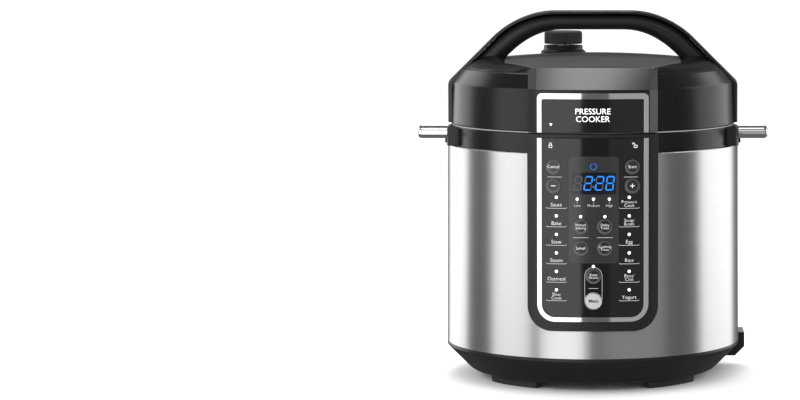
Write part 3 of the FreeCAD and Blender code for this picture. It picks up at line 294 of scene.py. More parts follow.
def lettering(words, size, x, z, depth, weight=-0.08, thick=INK_T):
    """Words as solid letters, laid on the panel's curve and centred at (x, z); weight
    thickens their strokes, or thins them below zero."""
    curve = bpy.data.curves.new("letters", "FONT")
    curve.body = words
    curve.size = size
    curve.align_x = curve.align_y = "CENTER"
    curve.space_line = 0.82
    curve.extrude = thick / 2
    curve.resolution_u = 3
    curve.offset = weight
    carrier = bpy.data.objects.new("letters", curve)
    mesh = bpy.data.meshes.new_from_object(carrier)
    points = np.empty(len(mesh.vertices) * 3, np.float32)
    mesh.vertices.foreach_get("co", points)
    points = points.reshape(-1, 3).astype(float)
    mesh.calc_loop_triangles()
    faces = np.empty(len(mesh.loop_triangles) * 3, np.int32)
    mesh.loop_triangles.foreach_get("vertices", faces)
    bpy.data.objects.remove(carrier)
    bpy.data.curves.remove(curve)
    bpy.data.meshes.remove(mesh)
    across = x + points[:, 0]
    placed = np.stack([across, face_y(across, depth + thick / 2 + points[:, 2]),
                       z + points[:, 1]], -1)
    return placed, faces.reshape(-1, 3).tolist()


def together(parts):
    """Several (points, faces) pairs as one."""
    points, faces, first = [], [], 0
    for spots, polygons in parts:
        points.append(spots)
        faces += [[corner + first for corner in polygon] for polygon in polygons]
        first += len(spots)
    return np.concatenate(points), faces


def add_piece(name, shape, finish, body, replaces=(), sharp=None):
    """A mesh object from points in millimetres. It rides on a body and may stand for CAD
    nodes; sharp is the angle in degrees above which its edges stay crisp."""
    points, faces = shape
    mesh = bpy.data.meshes.new(name)
    mesh.from_pydata((np.asarray(points) * MM).tolist(), [], faces)
    mesh.update()
    piece = bpy.data.objects.new(name, mesh)
    bpy.context.scene.collection.objects.link(piece)
    outward(mesh)
    if sharp is not None:
        mesh.shade_smooth()
        mesh.set_sharp_from_angle(angle=math.radians(sharp))
    mesh.materials.append(finish)
    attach(piece, body)
    if replaces:
        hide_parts(*replaces)
    return piece


def outward(mesh):
    """Turns every face of a closed mesh so that it looks outwards."""
    work = bmesh.new()
    work.from_mesh(mesh)
    bmesh.ops.recalc_face_normals(work, faces=work.faces)
    work.to_mesh(mesh)
    work.free()


# ---- node graphs ---------------------------------------------------------------
class Graph:
    """Adds nodes to a tree; a value that is a socket is linked, any other is set."""

    def __init__(self, tree):
        self.tree = tree

    def fill(self, node, values):
        for key, value in values.items():
            if isinstance(value, bpy.types.NodeSocket):
                self.tree.links.new(value, node.inputs[key])
            else:
                node.inputs[key].default_value = value
        return node

    def add(self, kind, values=None, **settings):
        node = self.tree.nodes.new(kind)
        for key, value in settings.items():
            setattr(node, key, value)
        return self.fill(node, values or {})

    def where(self):
        return self.add("ShaderNodeTexCoord").outputs["Object"]

    def math(self, operation, a, b=0.0, clamp=False):
        return self.add("ShaderNodeMath", {0: a, 1: b}, operation=operation,
                        use_clamp=clamp).outputs[0]

    def vector(self, operation, a, b=(0.0, 0.0, 0.0)):
        node = self.add("ShaderNodeVectorMath", {0: a, 1: b}, operation=operation)
        return node.outputs["Value" if operation == "LENGTH" else "Vector"]

    def noise(self, where, scale, detail=2.0, rough=0.5):
        node = self.add("ShaderNodeTexNoise", {"Vector": where, "Scale": scale,
                                               "Detail": detail, "Roughness": rough})
        return node.outputs[0]

    def spread(self, value, low, high, to_low, to_high):
        """Maps value from low..high to to_low..to_high, and holds it there."""
        node = self.add("ShaderNodeMapRange", {
            "Value": value, "From Min": low, "From Max": high, "To Min": to_low,
            "To Max": to_high}, clamp=True)
        return node.outputs["Result"]

    def mix(self, factor, a, b):
        return self.add("ShaderNodeMix", {0: factor, 6: a, 7: b}, data_type="RGBA").outputs[2]


def rgba(values, factor=1.0):
    return tuple(min(1.0, v * factor) for v in values) + (1.0,)


def node_group(name, inputs, outputs, build):
    """A shader node group with named sockets; inputs are (name, default) or (name, None)
    for a vector. build(graph, sockets) returns the output sockets by name."""
    if name in bpy.data.node_groups:
        return bpy.data.node_groups[name]
    tree = bpy.data.node_groups.new(name, "ShaderNodeTree")
    for label, default in inputs:
        kind = "NodeSocketVector" if default is None else "NodeSocketFloat"
        socket = tree.interface.new_socket(label, in_out="INPUT", socket_type=kind)
        if default is not None:
            socket.default_value = default
    for label, kind in outputs:
        tree.interface.new_socket(label, in_out="OUTPUT", socket_type="NodeSocket" + kind)
    graph = Graph(tree)
    entry = graph.add("NodeGroupInput")
    leave = graph.add("NodeGroupOutput")
    made = build(graph, {label: entry.outputs[label] for label, _ in inputs})
    for label, socket in made.items():
        tree.links.new(socket, leave.inputs[label])
    return tree


def build_moulded(graph, given):
    """Fine stipple in the normal, slow mottling in shade and roughness, and a softened
    highlight along every edge."""
    where = graph.where()
    fine = graph.noise(where, given["Grain Scale"], 3.0)
    broad = graph.noise(where, 26.0, 3.0)
    soft_edge = graph.add("ShaderNodeBevel", {"Radius": given["Edge"]}, samples=4)
    bump = graph.add("ShaderNodeBump", {
        "Height": fine, "Strength": given["Grain"], "Distance": 0.0002,
        "Normal": soft_edge.outputs[0]})
    swing = graph.math("MULTIPLY", graph.math("SUBTRACT", broad, 0.5), given["Spread"])
    grainy = graph.math("MULTIPLY", graph.math("SUBTRACT", fine, 0.5), 0.06)
    rough = graph.math("ADD", graph.math("ADD", swing, grainy), given["Roughness"], True)
    return {"Shade": broad, "Roughness": rough, "Normal": bump.outputs[0]}


def build_brushed(graph, given):
    """Long fine scratches: noise squeezed across the grain. Across works on height, Spin
    on the distance from the upright axis, Along round the piece."""
    where = graph.where()
    axes = graph.add("ShaderNodeSeparateXYZ", {0: where})
    flat = graph.add("ShaderNodeCombineXYZ", {0: axes.outputs[0], 1: axes.outputs[1]})
    radius = graph.vector("LENGTH", flat.outputs[0])
    across = graph.math("ADD", graph.math("MULTIPLY", axes.outputs[2], given["Across"]),
                        graph.math("MULTIPLY", radius, given["Spin"]))
    place = graph.add("ShaderNodeCombineXYZ", {
        0: graph.math("MULTIPLY", axes.outputs[0], given["Along"]),
        1: graph.math("MULTIPLY", axes.outputs[1], given["Along"]), 2: across})
    scratch = graph.noise(place.outputs[0], 1.0, 4.0, 0.65)
    streak = graph.noise(graph.vector("MULTIPLY", place.outputs[0], (1.6, 1.6, 0.13)), 1.0, 2.0)
    shade = graph.math("ADD", graph.math("MULTIPLY", scratch, 0.65),
                       graph.math("MULTIPLY", streak, 0.35))
    rough = graph.math("ADD", given["Roughness"],
                       graph.math("MULTIPLY", graph.math("SUBTRACT", shade, 0.5),
                                  given["Spread"]), True)
    bump = graph.add("ShaderNodeBump", {"Height": scratch, "Strength": given["Grain"],
                                        "Distance": 0.00006})
    return {"Shade": shade, "Roughness": rough, "Normal": bump.outputs[0]}


def build_smudges(graph, given):
    """Faint handling marks: two scales of noise multiplied, then raised to a soft mask."""
    where = graph.where()
    large = graph.spread(graph.noise(where, 9.0, 2.0), 0.42, 0.75, 0.0, 1.0)
    small = graph.spread(graph.noise(where, 70.0, 4.0, 0.7), 0.4, 0.8, 0.0, 1.0)
    return {"Mask": graph.math("MULTIPLY", graph.math("MULTIPLY", large, small),
                               given["Amount"])}


def build_zone(graph, given):
    """Mask of a rounded box seen from the front: the signed distance
    |max(q, 0)| + min(max(qx, qz), 0) - corner, with q = |p| - half size + corner."""
    axes = graph.add("ShaderNodeSeparateXYZ", {0: given["Vector"]})
    qs = [graph.math("SUBTRACT", graph.math("ABSOLUTE", axes.outputs[axis]),
                     graph.math("SUBTRACT", given[half], given["Corner"]))
          for axis, half in ((0, "Half Width"), (2, "Half Height"))]
    outside = graph.add("ShaderNodeCombineXYZ", {
        0: graph.math("MAXIMUM", qs[0], 0.0), 2: graph.math("MAXIMUM", qs[1], 0.0)})
    inside = graph.math("MINIMUM", graph.math("MAXIMUM", qs[0], qs[1]), 0.0)
    gap = graph.math("SUBTRACT", graph.math("ADD", graph.vector("LENGTH", outside.outputs[0]),
                                            inside), given["Corner"])
    return {"Mask": graph.spread(gap, 0.0, 0.0006, 1.0, 0.0)}


def moulded_group():
    return node_group(
        "moulded_grain",
        [("Grain Scale", 900.0), ("Grain", 0.2), ("Roughness", 0.4), ("Spread", 0.1),
         ("Edge", 0.0005)],
        [("Shade", "Float"), ("Roughness", "Float"), ("Normal", "Vector")], build_moulded)


def brushed_group():
    return node_group(
        "brushed_grain",
        [("Along", 6.0), ("Across", 2600.0), ("Spin", 0.0), ("Grain", 0.3),
         ("Roughness", 0.28), ("Spread", 0.2)],
        [("Shade", "Float"), ("Roughness", "Float"), ("Normal", "Vector")], build_brushed)


def smudge_group():
    return node_group("handling_smudges", [("Amount", 0.08)], [("Mask", "Float")],
                      build_smudges)


def zone_group():
    return node_group(
        "rounded_zone",
        [("Vector", None), ("Half Width", 0.02), ("Half Height", 0.02), ("Corner", 0.004)],
        [("Mask", "Float")], build_zone)


def new_finish(name):
    """An empty material with its Principled shader: (material, graph, shader)."""
    finish = bpy.data.materials.new(name)
    finish.use_nodes = True
    return finish, Graph(finish.node_tree), finish.node_tree.nodes["Principled BSDF"]


def use_group(graph, tree, **values):
    named = {key.replace("_", " "): value for key, value in values.items()}
    return graph.add("ShaderNodeGroup", named, node_tree=tree).outputs


def plastic(name, tone, roughness, spread=0.1, grain=0.2, scale=900.0, edge=0.5,
            mottle=0.18, smudges=0.0, **extra):
    """Moulded plastic or painted metal: stipple, mottled colour, softened edges and,
    where it is handled, faint smudges that dull the gloss."""
    finish, graph, shader = new_finish(name)
    moulded = use_group(graph, moulded_group(), Grain_Scale=scale, Grain=grain,
                        Roughness=roughness, Spread=spread, Edge=edge * MM)
    rough = moulded["Roughness"]
    if smudges:
        marks = use_group(graph, smudge_group(), Amount=smudges)["Mask"]
        rough = graph.math("ADD", rough, marks, True)
    tint = graph.mix(moulded["Shade"], rgba(tone, 1 - mottle), rgba(tone, 1 + mottle))
    graph.fill(shader, {"Base Color": tint, "Roughness": rough,
                        "Normal": moulded["Normal"], **extra})
    return finish


def metal(name, tone, roughness, spread=0.15, along=6.0, across=2600.0, spin=0.0, grain=0.3,
          contrast=0.16, round_axis=False, **extra):
    """Brushed, spun or rolled metal: scratches in colour, roughness and normal."""
    finish, graph, shader = new_finish(name)
    brushed = use_group(graph, brushed_group(), Along=along, Across=across, Spin=spin,
                        Grain=grain, Roughness=roughness, Spread=spread)
    tint = graph.mix(brushed["Shade"], rgba(tone, 1 - contrast), rgba(tone, 1 + contrast))
    values = {"Base Color": tint, "Roughness": brushed["Roughness"],
              "Normal": brushed["Normal"], "Metallic": 1.0, **extra}
    if round_axis:
        tangent = graph.add("ShaderNodeTangent", direction_type="RADIAL", axis="Z")
        values["Tangent"] = tangent.outputs[0]
    graph.fill(shader, values)
    return finish


def glowing(name, tone, strength, base=0.02):
    """A glowing piece: its light varies a little, as through a moulded diffuser. The display's
    digits and symbol are lit; on printed ink the glow is painted light.
    """
    finish, graph, shader = new_finish(name)
    where = graph.where()
    cloudy = graph.noise(where, 700.0, 2.0)
    lit = graph.mix(cloudy, rgba(tone, 0.86), rgba(tone, 1.0))
    rough = graph.spread(cloudy, 0.3, 0.7, 0.2, 0.35)
    graph.fill(shader, {"Base Color": rgba(tone, base), "Emission Color": lit,
                        "Emission Strength": strength, "Roughness": rough})
    return finish


def lamp_finish(tone, symbol_tone):
    """Frosted lamps, lit white; the one above the display's top edge is a dim blue."""
    finish, graph, shader = new_finish("lamp_white")
    where = graph.where()
    cloudy = graph.noise(where, 700.0, 2.0)
    height = graph.add("ShaderNodeSeparateXYZ", {0: where}).outputs[2]
    above = graph.spread(height, CLOCK_LAMP_Z * MM, (CLOCK_LAMP_Z + 0.2) * MM, 0.0, 1.0)
    lit = graph.mix(cloudy, rgba(tone, 0.86), rgba(tone, 1.0))
    graph.fill(shader, {
        "Base Color": graph.mix(above, rgba(tone, 0.7), rgba(symbol_tone, 0.02)),
        "Emission Color": graph.mix(above, lit, rgba(symbol_tone, 0.03)),
        "Emission Strength": 1.4, "Roughness": graph.spread(cloudy, 0.3, 0.7, 0.2, 0.35)})
    return finish


def overlay_finish(tone):
    """Polished black overlay with a slightly lighter rounded field behind the display."""
    finish, graph, shader = new_finish("overlay_gloss")
    moulded = use_group(graph, moulded_group(), Grain_Scale=400.0, Grain=0.02,
                        Roughness=0.07, Spread=0.03, Edge=0.3 * MM)
    marks = use_group(graph, smudge_group(), Amount=0.03)["Mask"]
    where = graph.where()
    centred = graph.add("ShaderNodeMapping", {
        "Vector": where, "Location": (-FIELD_MIDDLE[0] * MM, 0.0, -FIELD_MIDDLE[1] * MM)})
    field = use_group(graph, zone_group(), Vector=centred.outputs[0],
                      Half_Width=FIELD_HALF[0] * MM, Half_Height=FIELD_HALF[1] * MM,
                      Corner=FIELD_CORNER * MM)["Mask"]
    base = graph.mix(moulded["Shade"], rgba(tone, 0.8), rgba(tone, 1.2))
    graph.fill(shader, {
        "Base Color": graph.mix(field, base, (0.021, 0.021, 0.022, 1.0)),
        "Roughness": graph.math("ADD", moulded["Roughness"],
                                graph.math("ADD", marks, graph.math("MULTIPLY", field, 0.1)),
                                True),
        "Normal": moulded["Normal"]})
    return finish


def pot_finish(tone, rim_z):
    """Dark coating with fine flecks; above rim_z the pot's rim is bare metal."""
    finish, graph, shader = new_finish("pot_coating")
    where = graph.where()
    moulded = use_group(graph, moulded_group(), Grain_Scale=1500.0, Grain=0.25,
                        Roughness=0.34, Spread=0.1, Edge=0.3 * MM)
    flecks = graph.add("ShaderNodeTexVoronoi", {"Vector": where, "Scale": 700.0})
    dots = graph.spread(flecks.outputs["Distance"], 0.12, 0.2, 1.0, 0.0)
    height = graph.add("ShaderNodeSeparateXYZ", {0: where}).outputs[2]
    rim = graph.spread(height, rim_z - 0.0001, rim_z + 0.0001, 0.0, 1.0)
    coat = graph.mix(graph.math("MULTIPLY", dots, 0.5), rgba(tone), (0.2, 0.2, 0.21, 1.0))
    graph.fill(shader, {
        "Base Color": graph.mix(rim, coat, (0.75, 0.75, 0.75, 1.0)),
        "Metallic": graph.spread(rim, 0.0, 1.0, 0.25, 1.0),
        "Roughness": graph.math("SUBTRACT", moulded["Roughness"],
                                graph.math("MULTIPLY", rim, 0.15), True),
        "Normal": moulded["Normal"]})
    return finish


def board_finish():
    """Green solder mask over copper tracks, drawn by one stretched brick pattern."""
    finish, graph, shader = new_finish("solder_mask")
    where = graph.where()
    moulded = use_group(graph, moulded_group(), Grain_Scale=600.0, Grain=0.05,
                        Roughness=0.3, Spread=0.1, Edge=0.1 * MM)
    tracks = graph.add("ShaderNodeTexBrick", {
        "Vector": where, "Scale": 160.0, "Mortar Size": 0.03, "Mortar Smooth": 0.1,
        "Brick Width": 0.9, "Row Height": 0.35})
    line = tracks.outputs["Fac"]
    green = graph.mix(moulded["Shade"], (0.012, 0.09, 0.035, 1.0), (0.02, 0.13, 0.05, 1.0))
    bump = graph.add("ShaderNodeBump", {"Height": line, "Strength": 0.4, "Distance": 0.0001,
                                        "Normal": moulded["Normal"]})
    graph.fill(shader, {
        "Base Color": graph.mix(line, green, (0.05, 0.26, 0.09, 1.0)),
        "Roughness": moulded["Roughness"], "Normal": bump.outputs[0]})
    return finish


def key_finish(name, tone, centre, radius, metallic):
    """A key's face: a crescent of painted highlight, lighter towards its lower left rim,
    standing for light caught on a shallow dish; measured from the key's own centre."""
    finish, graph, shader = new_finish(name)
    moulded = use_group(graph, moulded_group(), Grain_Scale=700.0, Grain=0.05,
                        Roughness=0.16 if not metallic else 0.26, Spread=0.05, Edge=0.3 * MM)
    where = graph.where()
    centred = graph.add("ShaderNodeMapping", {
        "Vector": where, "Location": (-centre[0], 0.0, -centre[2])}).outputs[0]
    axes = graph.add("ShaderNodeSeparateXYZ", {0: centred})
    flat = graph.add("ShaderNodeCombineXYZ", {0: axes.outputs[0], 2: axes.outputs[2]})
    out = graph.vector("LENGTH", flat.outputs[0])
    ring = graph.spread(out, radius * 0.62, radius, 0.0, 1.0)
    slant = graph.math("ADD", graph.math("MULTIPLY", axes.outputs[0], -0.6),
                       graph.math("MULTIPLY", axes.outputs[2], -0.8))
    lit_side = graph.spread(slant, -radius, radius, 0.15, 1.0)
    # Painted highlight: ring times lit side, brightest at the lower left of the rim
    painted_rim_highlight = graph.math("MULTIPLY", graph.math("MULTIPLY", ring, ring), lit_side)
    base = graph.mix(moulded["Shade"], rgba(tone, 0.85), rgba(tone, 1.15))
    # Colour of the painted highlight: brighter silver on the menu key, light grey on the black
    # keys
    light = rgba(tone, 1.25) if metallic else (0.34, 0.34, 0.345, 1.0)
    graph.fill(shader, {
        "Base Color": graph.mix(painted_rim_highlight, base, light), "Metallic": metallic,
        "Roughness": moulded["Roughness"], "Normal": moulded["Normal"]})
    return finish


def cover(finish, *names):
    """Gives CAD nodes a material in every slot they have."""
    for name in names:
        node = NODES[name]
        slots = node.material_slots
        if not slots:
            node.data.materials.append(finish)
        for slot in slots:
            slot.material = finish


def kept(name):
    """A material that an earlier operator made."""
    return bpy.data.materials[name]


# ---- operators -----------------------------------------------------------------
class COOKER_OT_plastics(bpy.types.Operator):
    """Gives the moulded parts of the base, lid and handles their black and grey plastics"""
    bl_idname = "cooker.plastics"
    bl_label = "Plastic Parts"

    def execute(self, context):
        tones = context.scene.cooker_colours
        gloss = plastic("gloss_black", tones.gloss, 0.11, spread=0.05, grain=0.03,
                        scale=300.0, edge=0.8, smudges=0.05)
        dull = {"Specular IOR Level": 0.34}
        lid_black = plastic("lid_black", tones.gloss, 0.25, spread=0.06, grain=0.05,
                            scale=300.0, edge=0.8, smudges=0.04, **dull)
        fascia = plastic("fascia_satin", tones.satin, 0.32, spread=0.06, grain=0.08,
                         scale=500.0, edge=0.8)
        satin = plastic("satin_black", tones.satin, 0.36, grain=0.22, edge=0.6, **dull)
        matte = plastic("matte_black", tones.satin, 0.55, grain=0.35, scale=1200.0)
        plate = plastic("plate_grey", tones.plate, 0.42, grain=0.3, scale=1600.0, edge=1.0,
                        mottle=0.08)
        cover(gloss, "fascia_panel", "handle_cap", "steam_release_knob")
        cover(lid_black, "lid_housing", "collar_ring")
        cover(fascia, "lid_fascia")
        cover(satin, "base_housing", "panel_bezel", "handle_roots", "power_inlet",
              "condensation_cup", "lid_lever", "valve_base", "handle_grip")
        cover(matte, "bottom_cover", "panel_frame", "key_switches", "pressure_switch",
              "board_components", "display_module")
        cover(plate, "lid_top_plate")
        rubber = plastic("foot_rubber", (0.018, 0.018, 0.018), 0.75, grain=0.5, scale=1500.0)
        silicone = plastic("ring_silicone", (0.72, 0.72, 0.69), 0.42, grain=0.06,
                           scale=500.0, mottle=0.04, **{"Subsurface Weight": 0.25})
        cover(rubber, "rubber_feet")
        cover(silicone, "sealing_ring", "float_seal")
        cover(board_finish(), "power_board", "display_board")
        return {"FINISHED"}


class COOKER_OT_metals(bpy.types.Operator):
    """Gives the body wall, trims, heater, pot and inner lid their metal finishes"""
    bl_idname = "cooker.metals"
    bl_label = "Metal Parts"

    def execute(self, context):
        tones = context.scene.cooker_colours
        wall = metal("brushed_wall", tones.steel, 0.33, spread=0.14, along=5.0,
                     across=2400.0, grain=0.22, contrast=0.12, round_axis=True)
        shader = wall.node_tree.nodes["Principled BSDF"]
        shader.inputs["Anisotropic"].default_value = 0.75
        shader.inputs["Anisotropic Rotation"].default_value = 0.25
        spun = metal("spun_steel", tones.steel, 0.24, across=300.0, spin=2200.0, grain=0.2)
        sheet = metal("rolled_steel", (0.55, 0.55, 0.54), 0.34, across=500.0, spin=500.0)
        cast = metal("blasted_aluminium", (0.62, 0.62, 0.63), 0.42, along=900.0,
                     across=900.0, grain=0.35)
        chrome = plastic("bright_chrome", tones.chrome, 0.07, spread=0.04, grain=0.01,
                         scale=200.0, edge=0.3, mottle=0.03, smudges=0.03, Metallic=1.0)
        cover(wall, "steel_wall")
        cover(spun, "pressure_lid", "heating_plate", "sensor_cap")
        cover(sheet, "heater_bracket", "sensor_bracket", "sensor_spring", "heat_shield",
              "assembly_screws", "gasket_rack", "anti_block_shield", "valve_pipe",
              "float_valve")
        cover(cast, "outer_cooker", "heating_element")
        cover(chrome, "panel_trim", "fascia_trim", "side_handles", "inlet_pins")
        rim_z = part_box("inner_pot")[1].z - 0.0018
        cover(pot_finish(tones.coating, rim_z), "inner_pot")
        return {"FINISHED"}


class COOKER_OT_panel_faces(bpy.types.Operator):
    """Gives the overlay, the lamps and the key faces their finishes"""
    bl_idname = "cooker.panel_faces"
    bl_label = "Panel Faces"

    def execute(self, context):
        tones = context.scene.cooker_colours
        cover(overlay_finish(tones.gloss), "panel_overlay")
        cover(lamp_finish(tones.lamp, tones.glow), "indicator_lenses")
        for name in KEY_NAMES:
            low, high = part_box("key_" + name)
            silver = name == "menu"
            tone = (0.5, 0.5, 0.51) if silver else (0.012, 0.012, 0.013)
            # Each key face material carries a painted rim highlight
            finish = key_finish("key_face_painted_highlight_" + name, tone, (low + high) / 2,
                                (high.x - low.x) / 2 - KEY_FACE_GAP * MM,
                                0.3 if silver else 0.0)
            cover(finish, "key_" + name)
        return {"FINISHED"}


def arch_line(offset, z0):
    """The handle's outline as (x, z): up the lid's side, along 45 degree runs and over the
    flat top, with every corner a tangent arc; offset inwards."""
    lean = ARCH_LEAN - offset * math.sqrt(2)
    side, top = ARCH_SIDE - offset, ARCH_Z - offset
    return rounded_path([
        (-side, z0, 0), (-side, lean - side, 9.0), (top - lean, top, ARCH_R - offset),
        (lean - top, top, ARCH_R - offset), (side, lean - side, 9.0), (side, z0, 0)], steps=40)


class COOKER_OT_handle(bpy.types.Operator):
    """Builds the carrying handle: a rounded grip under a thin glossy strap"""
    bl_idname = "cooker.handle"
    bl_label = "Carrying Handle"

    def execute(self, context):
        sizes = context.scene.cooker_sizes
        add_piece("handle_grip_form", self.grip(sizes), kept("satin_black"), "lid",
                  ["handle_grip"], sharp=60)
        polish = plastic("strap_polish", context.scene.cooker_colours.gloss, 0.2,
                         spread=0.04, grain=0.02, scale=300.0, edge=0.0, smudges=0.04)
        add_piece("handle_strap_form", self.strap(sizes), polish, "lid",
                  ["handle_cap"], sharp=60)
        return {"FINISHED"}

    def grip(self, sizes):
        """Superellipse sections spanned between the strap's underside and the smooth bend
        z = under - fall u^2.15: p = middle + cos(t)^(2/n) half height + sin(t)^(2/n) half
        depth."""
        under, foot_z = STRAP_T + STRAP_GAP, SHELF_Z + 0.2
        outer = arch_line(under, SHELF_Z - 60)
        outer = outer[outer[:, 1] > SHELF_Z + 1]
        foot = ARCH_LEAN - under * math.sqrt(2) - foot_z
        outer = np.concatenate([[[-foot, foot_z]], outer, [[foot, foot_z]]])
        u = np.linspace(1, 0, 40)[:, None]
        bend = np.concatenate([-GRIP_FLAT - GRIP_SPAN * u,
                               GRIP_UNDER_Z - GRIP_FALL * u ** 2.15], 1)
        root = GRIP_FLAT + GRIP_SPAN
        inner = np.concatenate([[[-root, foot_z]], bend, (bend * (-1, 1))[::-1],
                                [[root, foot_z]]])
        outer, inner = even(outer, 141), even(inner, 141)
        middle, half = (outer + inner) / 2, (outer - inner) / 2
        around = np.linspace(0, 2 * math.pi, 56, endpoint=False)
        power = 2 / sizes.grip_roundness
        up = np.sign(np.cos(around)) * np.abs(np.cos(around)) ** power
        deep = np.sign(np.sin(around)) * np.abs(np.sin(around)) ** power
        flat = middle[:, None] + up[None, :, None] * half[:, None]
        y = np.broadcast_to(deep * GRIP_HALF_D, flat.shape[:2])
        return tube(np.stack([flat[..., 0], y, flat[..., 1]], -1))

    def strap(self, sizes):
        """A thin crowned section with rounded edges, carried along the handle's outline;
        its lower legs are thicker and meet the lid's wall."""
        line = even(arch_line(0, STRAP_FOOT_Z), 181)
        inward = -line_normals(line)
        half, edge = STRAP_HALF_D, sizes.strap_edge / MM
        crown = sizes.strap_crown / MM
        section = rounded_path([
            (-half, crown, edge * 0.7), (0, 0, 20.0), (half, crown, edge * 0.7),
            (half, STRAP_T, 0.5), (-half, STRAP_T, 0.5)], closed=True, steps=6)
        deep = 1 + 0.6 * np.clip((SHELF_Z - 0.5 - line[:, 1]) / 8.0, 0, 1)
        flat = (line[:, None]
                + (section[None, :, 1] * deep[:, None])[..., None] * inward[:, None])
        y = np.broadcast_to(section[:, 0], flat.shape[:2])
        return tube(np.stack([flat[..., 0], y, flat[..., 1]], -1))


class COOKER_OT_side_handles(bpy.types.Operator):
    """Builds the two polished side handles with rounded ends"""
    bl_idname = "cooker.side_handles"
    bl_label = "Side Handles"

    def execute(self, context):
        low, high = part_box("side_handles")
        forms = [self.form(side, (low + high) / 2 / MM, (high - low) / 2 / MM)
                 for side in (-1, 1)]
        add_piece("side_handle_forms", together(forms), kept("bright_chrome"), "cooker_base",
                  ["side_handles"], sharp=60)
        return {"FINISHED"}

    def form(self, side, centre, half):
        """Superellipse sections |y / a|^5 + |z / b|^3 = 1 from the body outwards, drawn in
        at the free end along a quarter ellipse."""
        around = np.linspace(0, 2 * math.pi, 96, endpoint=False)
        y = np.sign(np.cos(around)) * np.abs(np.cos(around)) ** (2 / 5) * half.y
        z = np.sign(np.sin(around)) * np.abs(np.sin(around)) ** (2 / 3) * half.z
        bend = np.linspace(0, math.pi / 2, 12)[:, None]
        nose = SIDE_HANDLE_NOSE
        reach = np.concatenate([[[SIDE_HANDLE_X]], half.x - nose + nose * np.sin(bend)])
        draw = np.concatenate([[[0.0]], 1 - np.cos(bend)])
        x = side * reach + 0 * around
        across = y - nose * draw * y / half.y
        up = z * (1 - 0.82 * draw ** 1.5)
        return tube(np.stack([x, centre.y + across, centre.z + up], -1))


def plate_edge(angle):
    """Distance from the axis to the top plate's outline, 0.3 mm outside it."""
    f, w, front, rear = 57.3, 87.8, PLATE_FRONT_Y, PLATE_REAR_Y
    outline = rounded_path([
        (-f, front, 3), (f, front, 3), (w, -62, 24), (w, 58, 24), (f, rear, 30),
        (-f, rear, 30), (-w, 58, 24), (-w, -62, 24)], closed=True)
    outline = even(outline, 1440, closed=True)
    at = np.arctan2(outline[:, 1], outline[:, 0])
    order = np.argsort(at)
    return np.interp(angle, at[order], np.linalg.norm(outline, axis=1)[order],
                     period=2 * math.pi)


class COOKER_OT_shoulder(bpy.types.Operator):
    """Builds the domed black shoulder round the lid's top plate, which swells up beside
    the handle's roots"""
    bl_idname = "cooker.shoulder"
    bl_label = "Lid Shoulder"

    def execute(self, context):
        rise = context.scene.cooker_sizes.mound_rise / MM
        add_piece("lid_shoulder", self.surface(rise), kept("lid_black"), "lid",
                  sharp=35)
        return {"FINISHED"}

    def surface(self, rise):
        """Rings from the shelf's edge to the plate's outline: z = shelf + (plate edge
        - shelf) sin(s 90 deg)^0.9 + rise exp(-(angle / 21 deg)^2) sin(s 180 deg)^0.8."""
        front = math.atan2(-PLATE_FRONT_Y, 58.0)
        angle = np.linspace(-front, math.pi + front, 241)[:, None]
        s = np.linspace(0, 1, 25)[None, :]
        inner = np.minimum(plate_edge(angle), SHELF_EDGE - 0.4)
        outer = SHELF_EDGE + 0 * angle
        radius = outer + (inner - outer) * s
        top = CROWN_Z - CROWN_R + np.sqrt(CROWN_R ** 2 - inner ** 2) - 0.7
        from_side = np.degrees(np.arcsin(np.clip(np.sin(angle), -1, 1)))
        width = np.clip((SHELF_EDGE - inner) / 30.0, 0, 1)
        mound = rise * width * np.exp(-(from_side / 21.0) ** 2) * np.sin(math.pi * s) ** 0.8
        height = SHELF_Z + 0.05 + (top - SHELF_Z) * np.sin(s * math.pi / 2) ** 0.9 + mound
        rings = np.stack([radius * np.cos(angle), radius * np.sin(angle), height], -1)
        under = rings[:, ::-1].copy()
        under[..., 2] = SHELF_Z - 0.3
        return tube(np.concatenate([rings, under], 1))


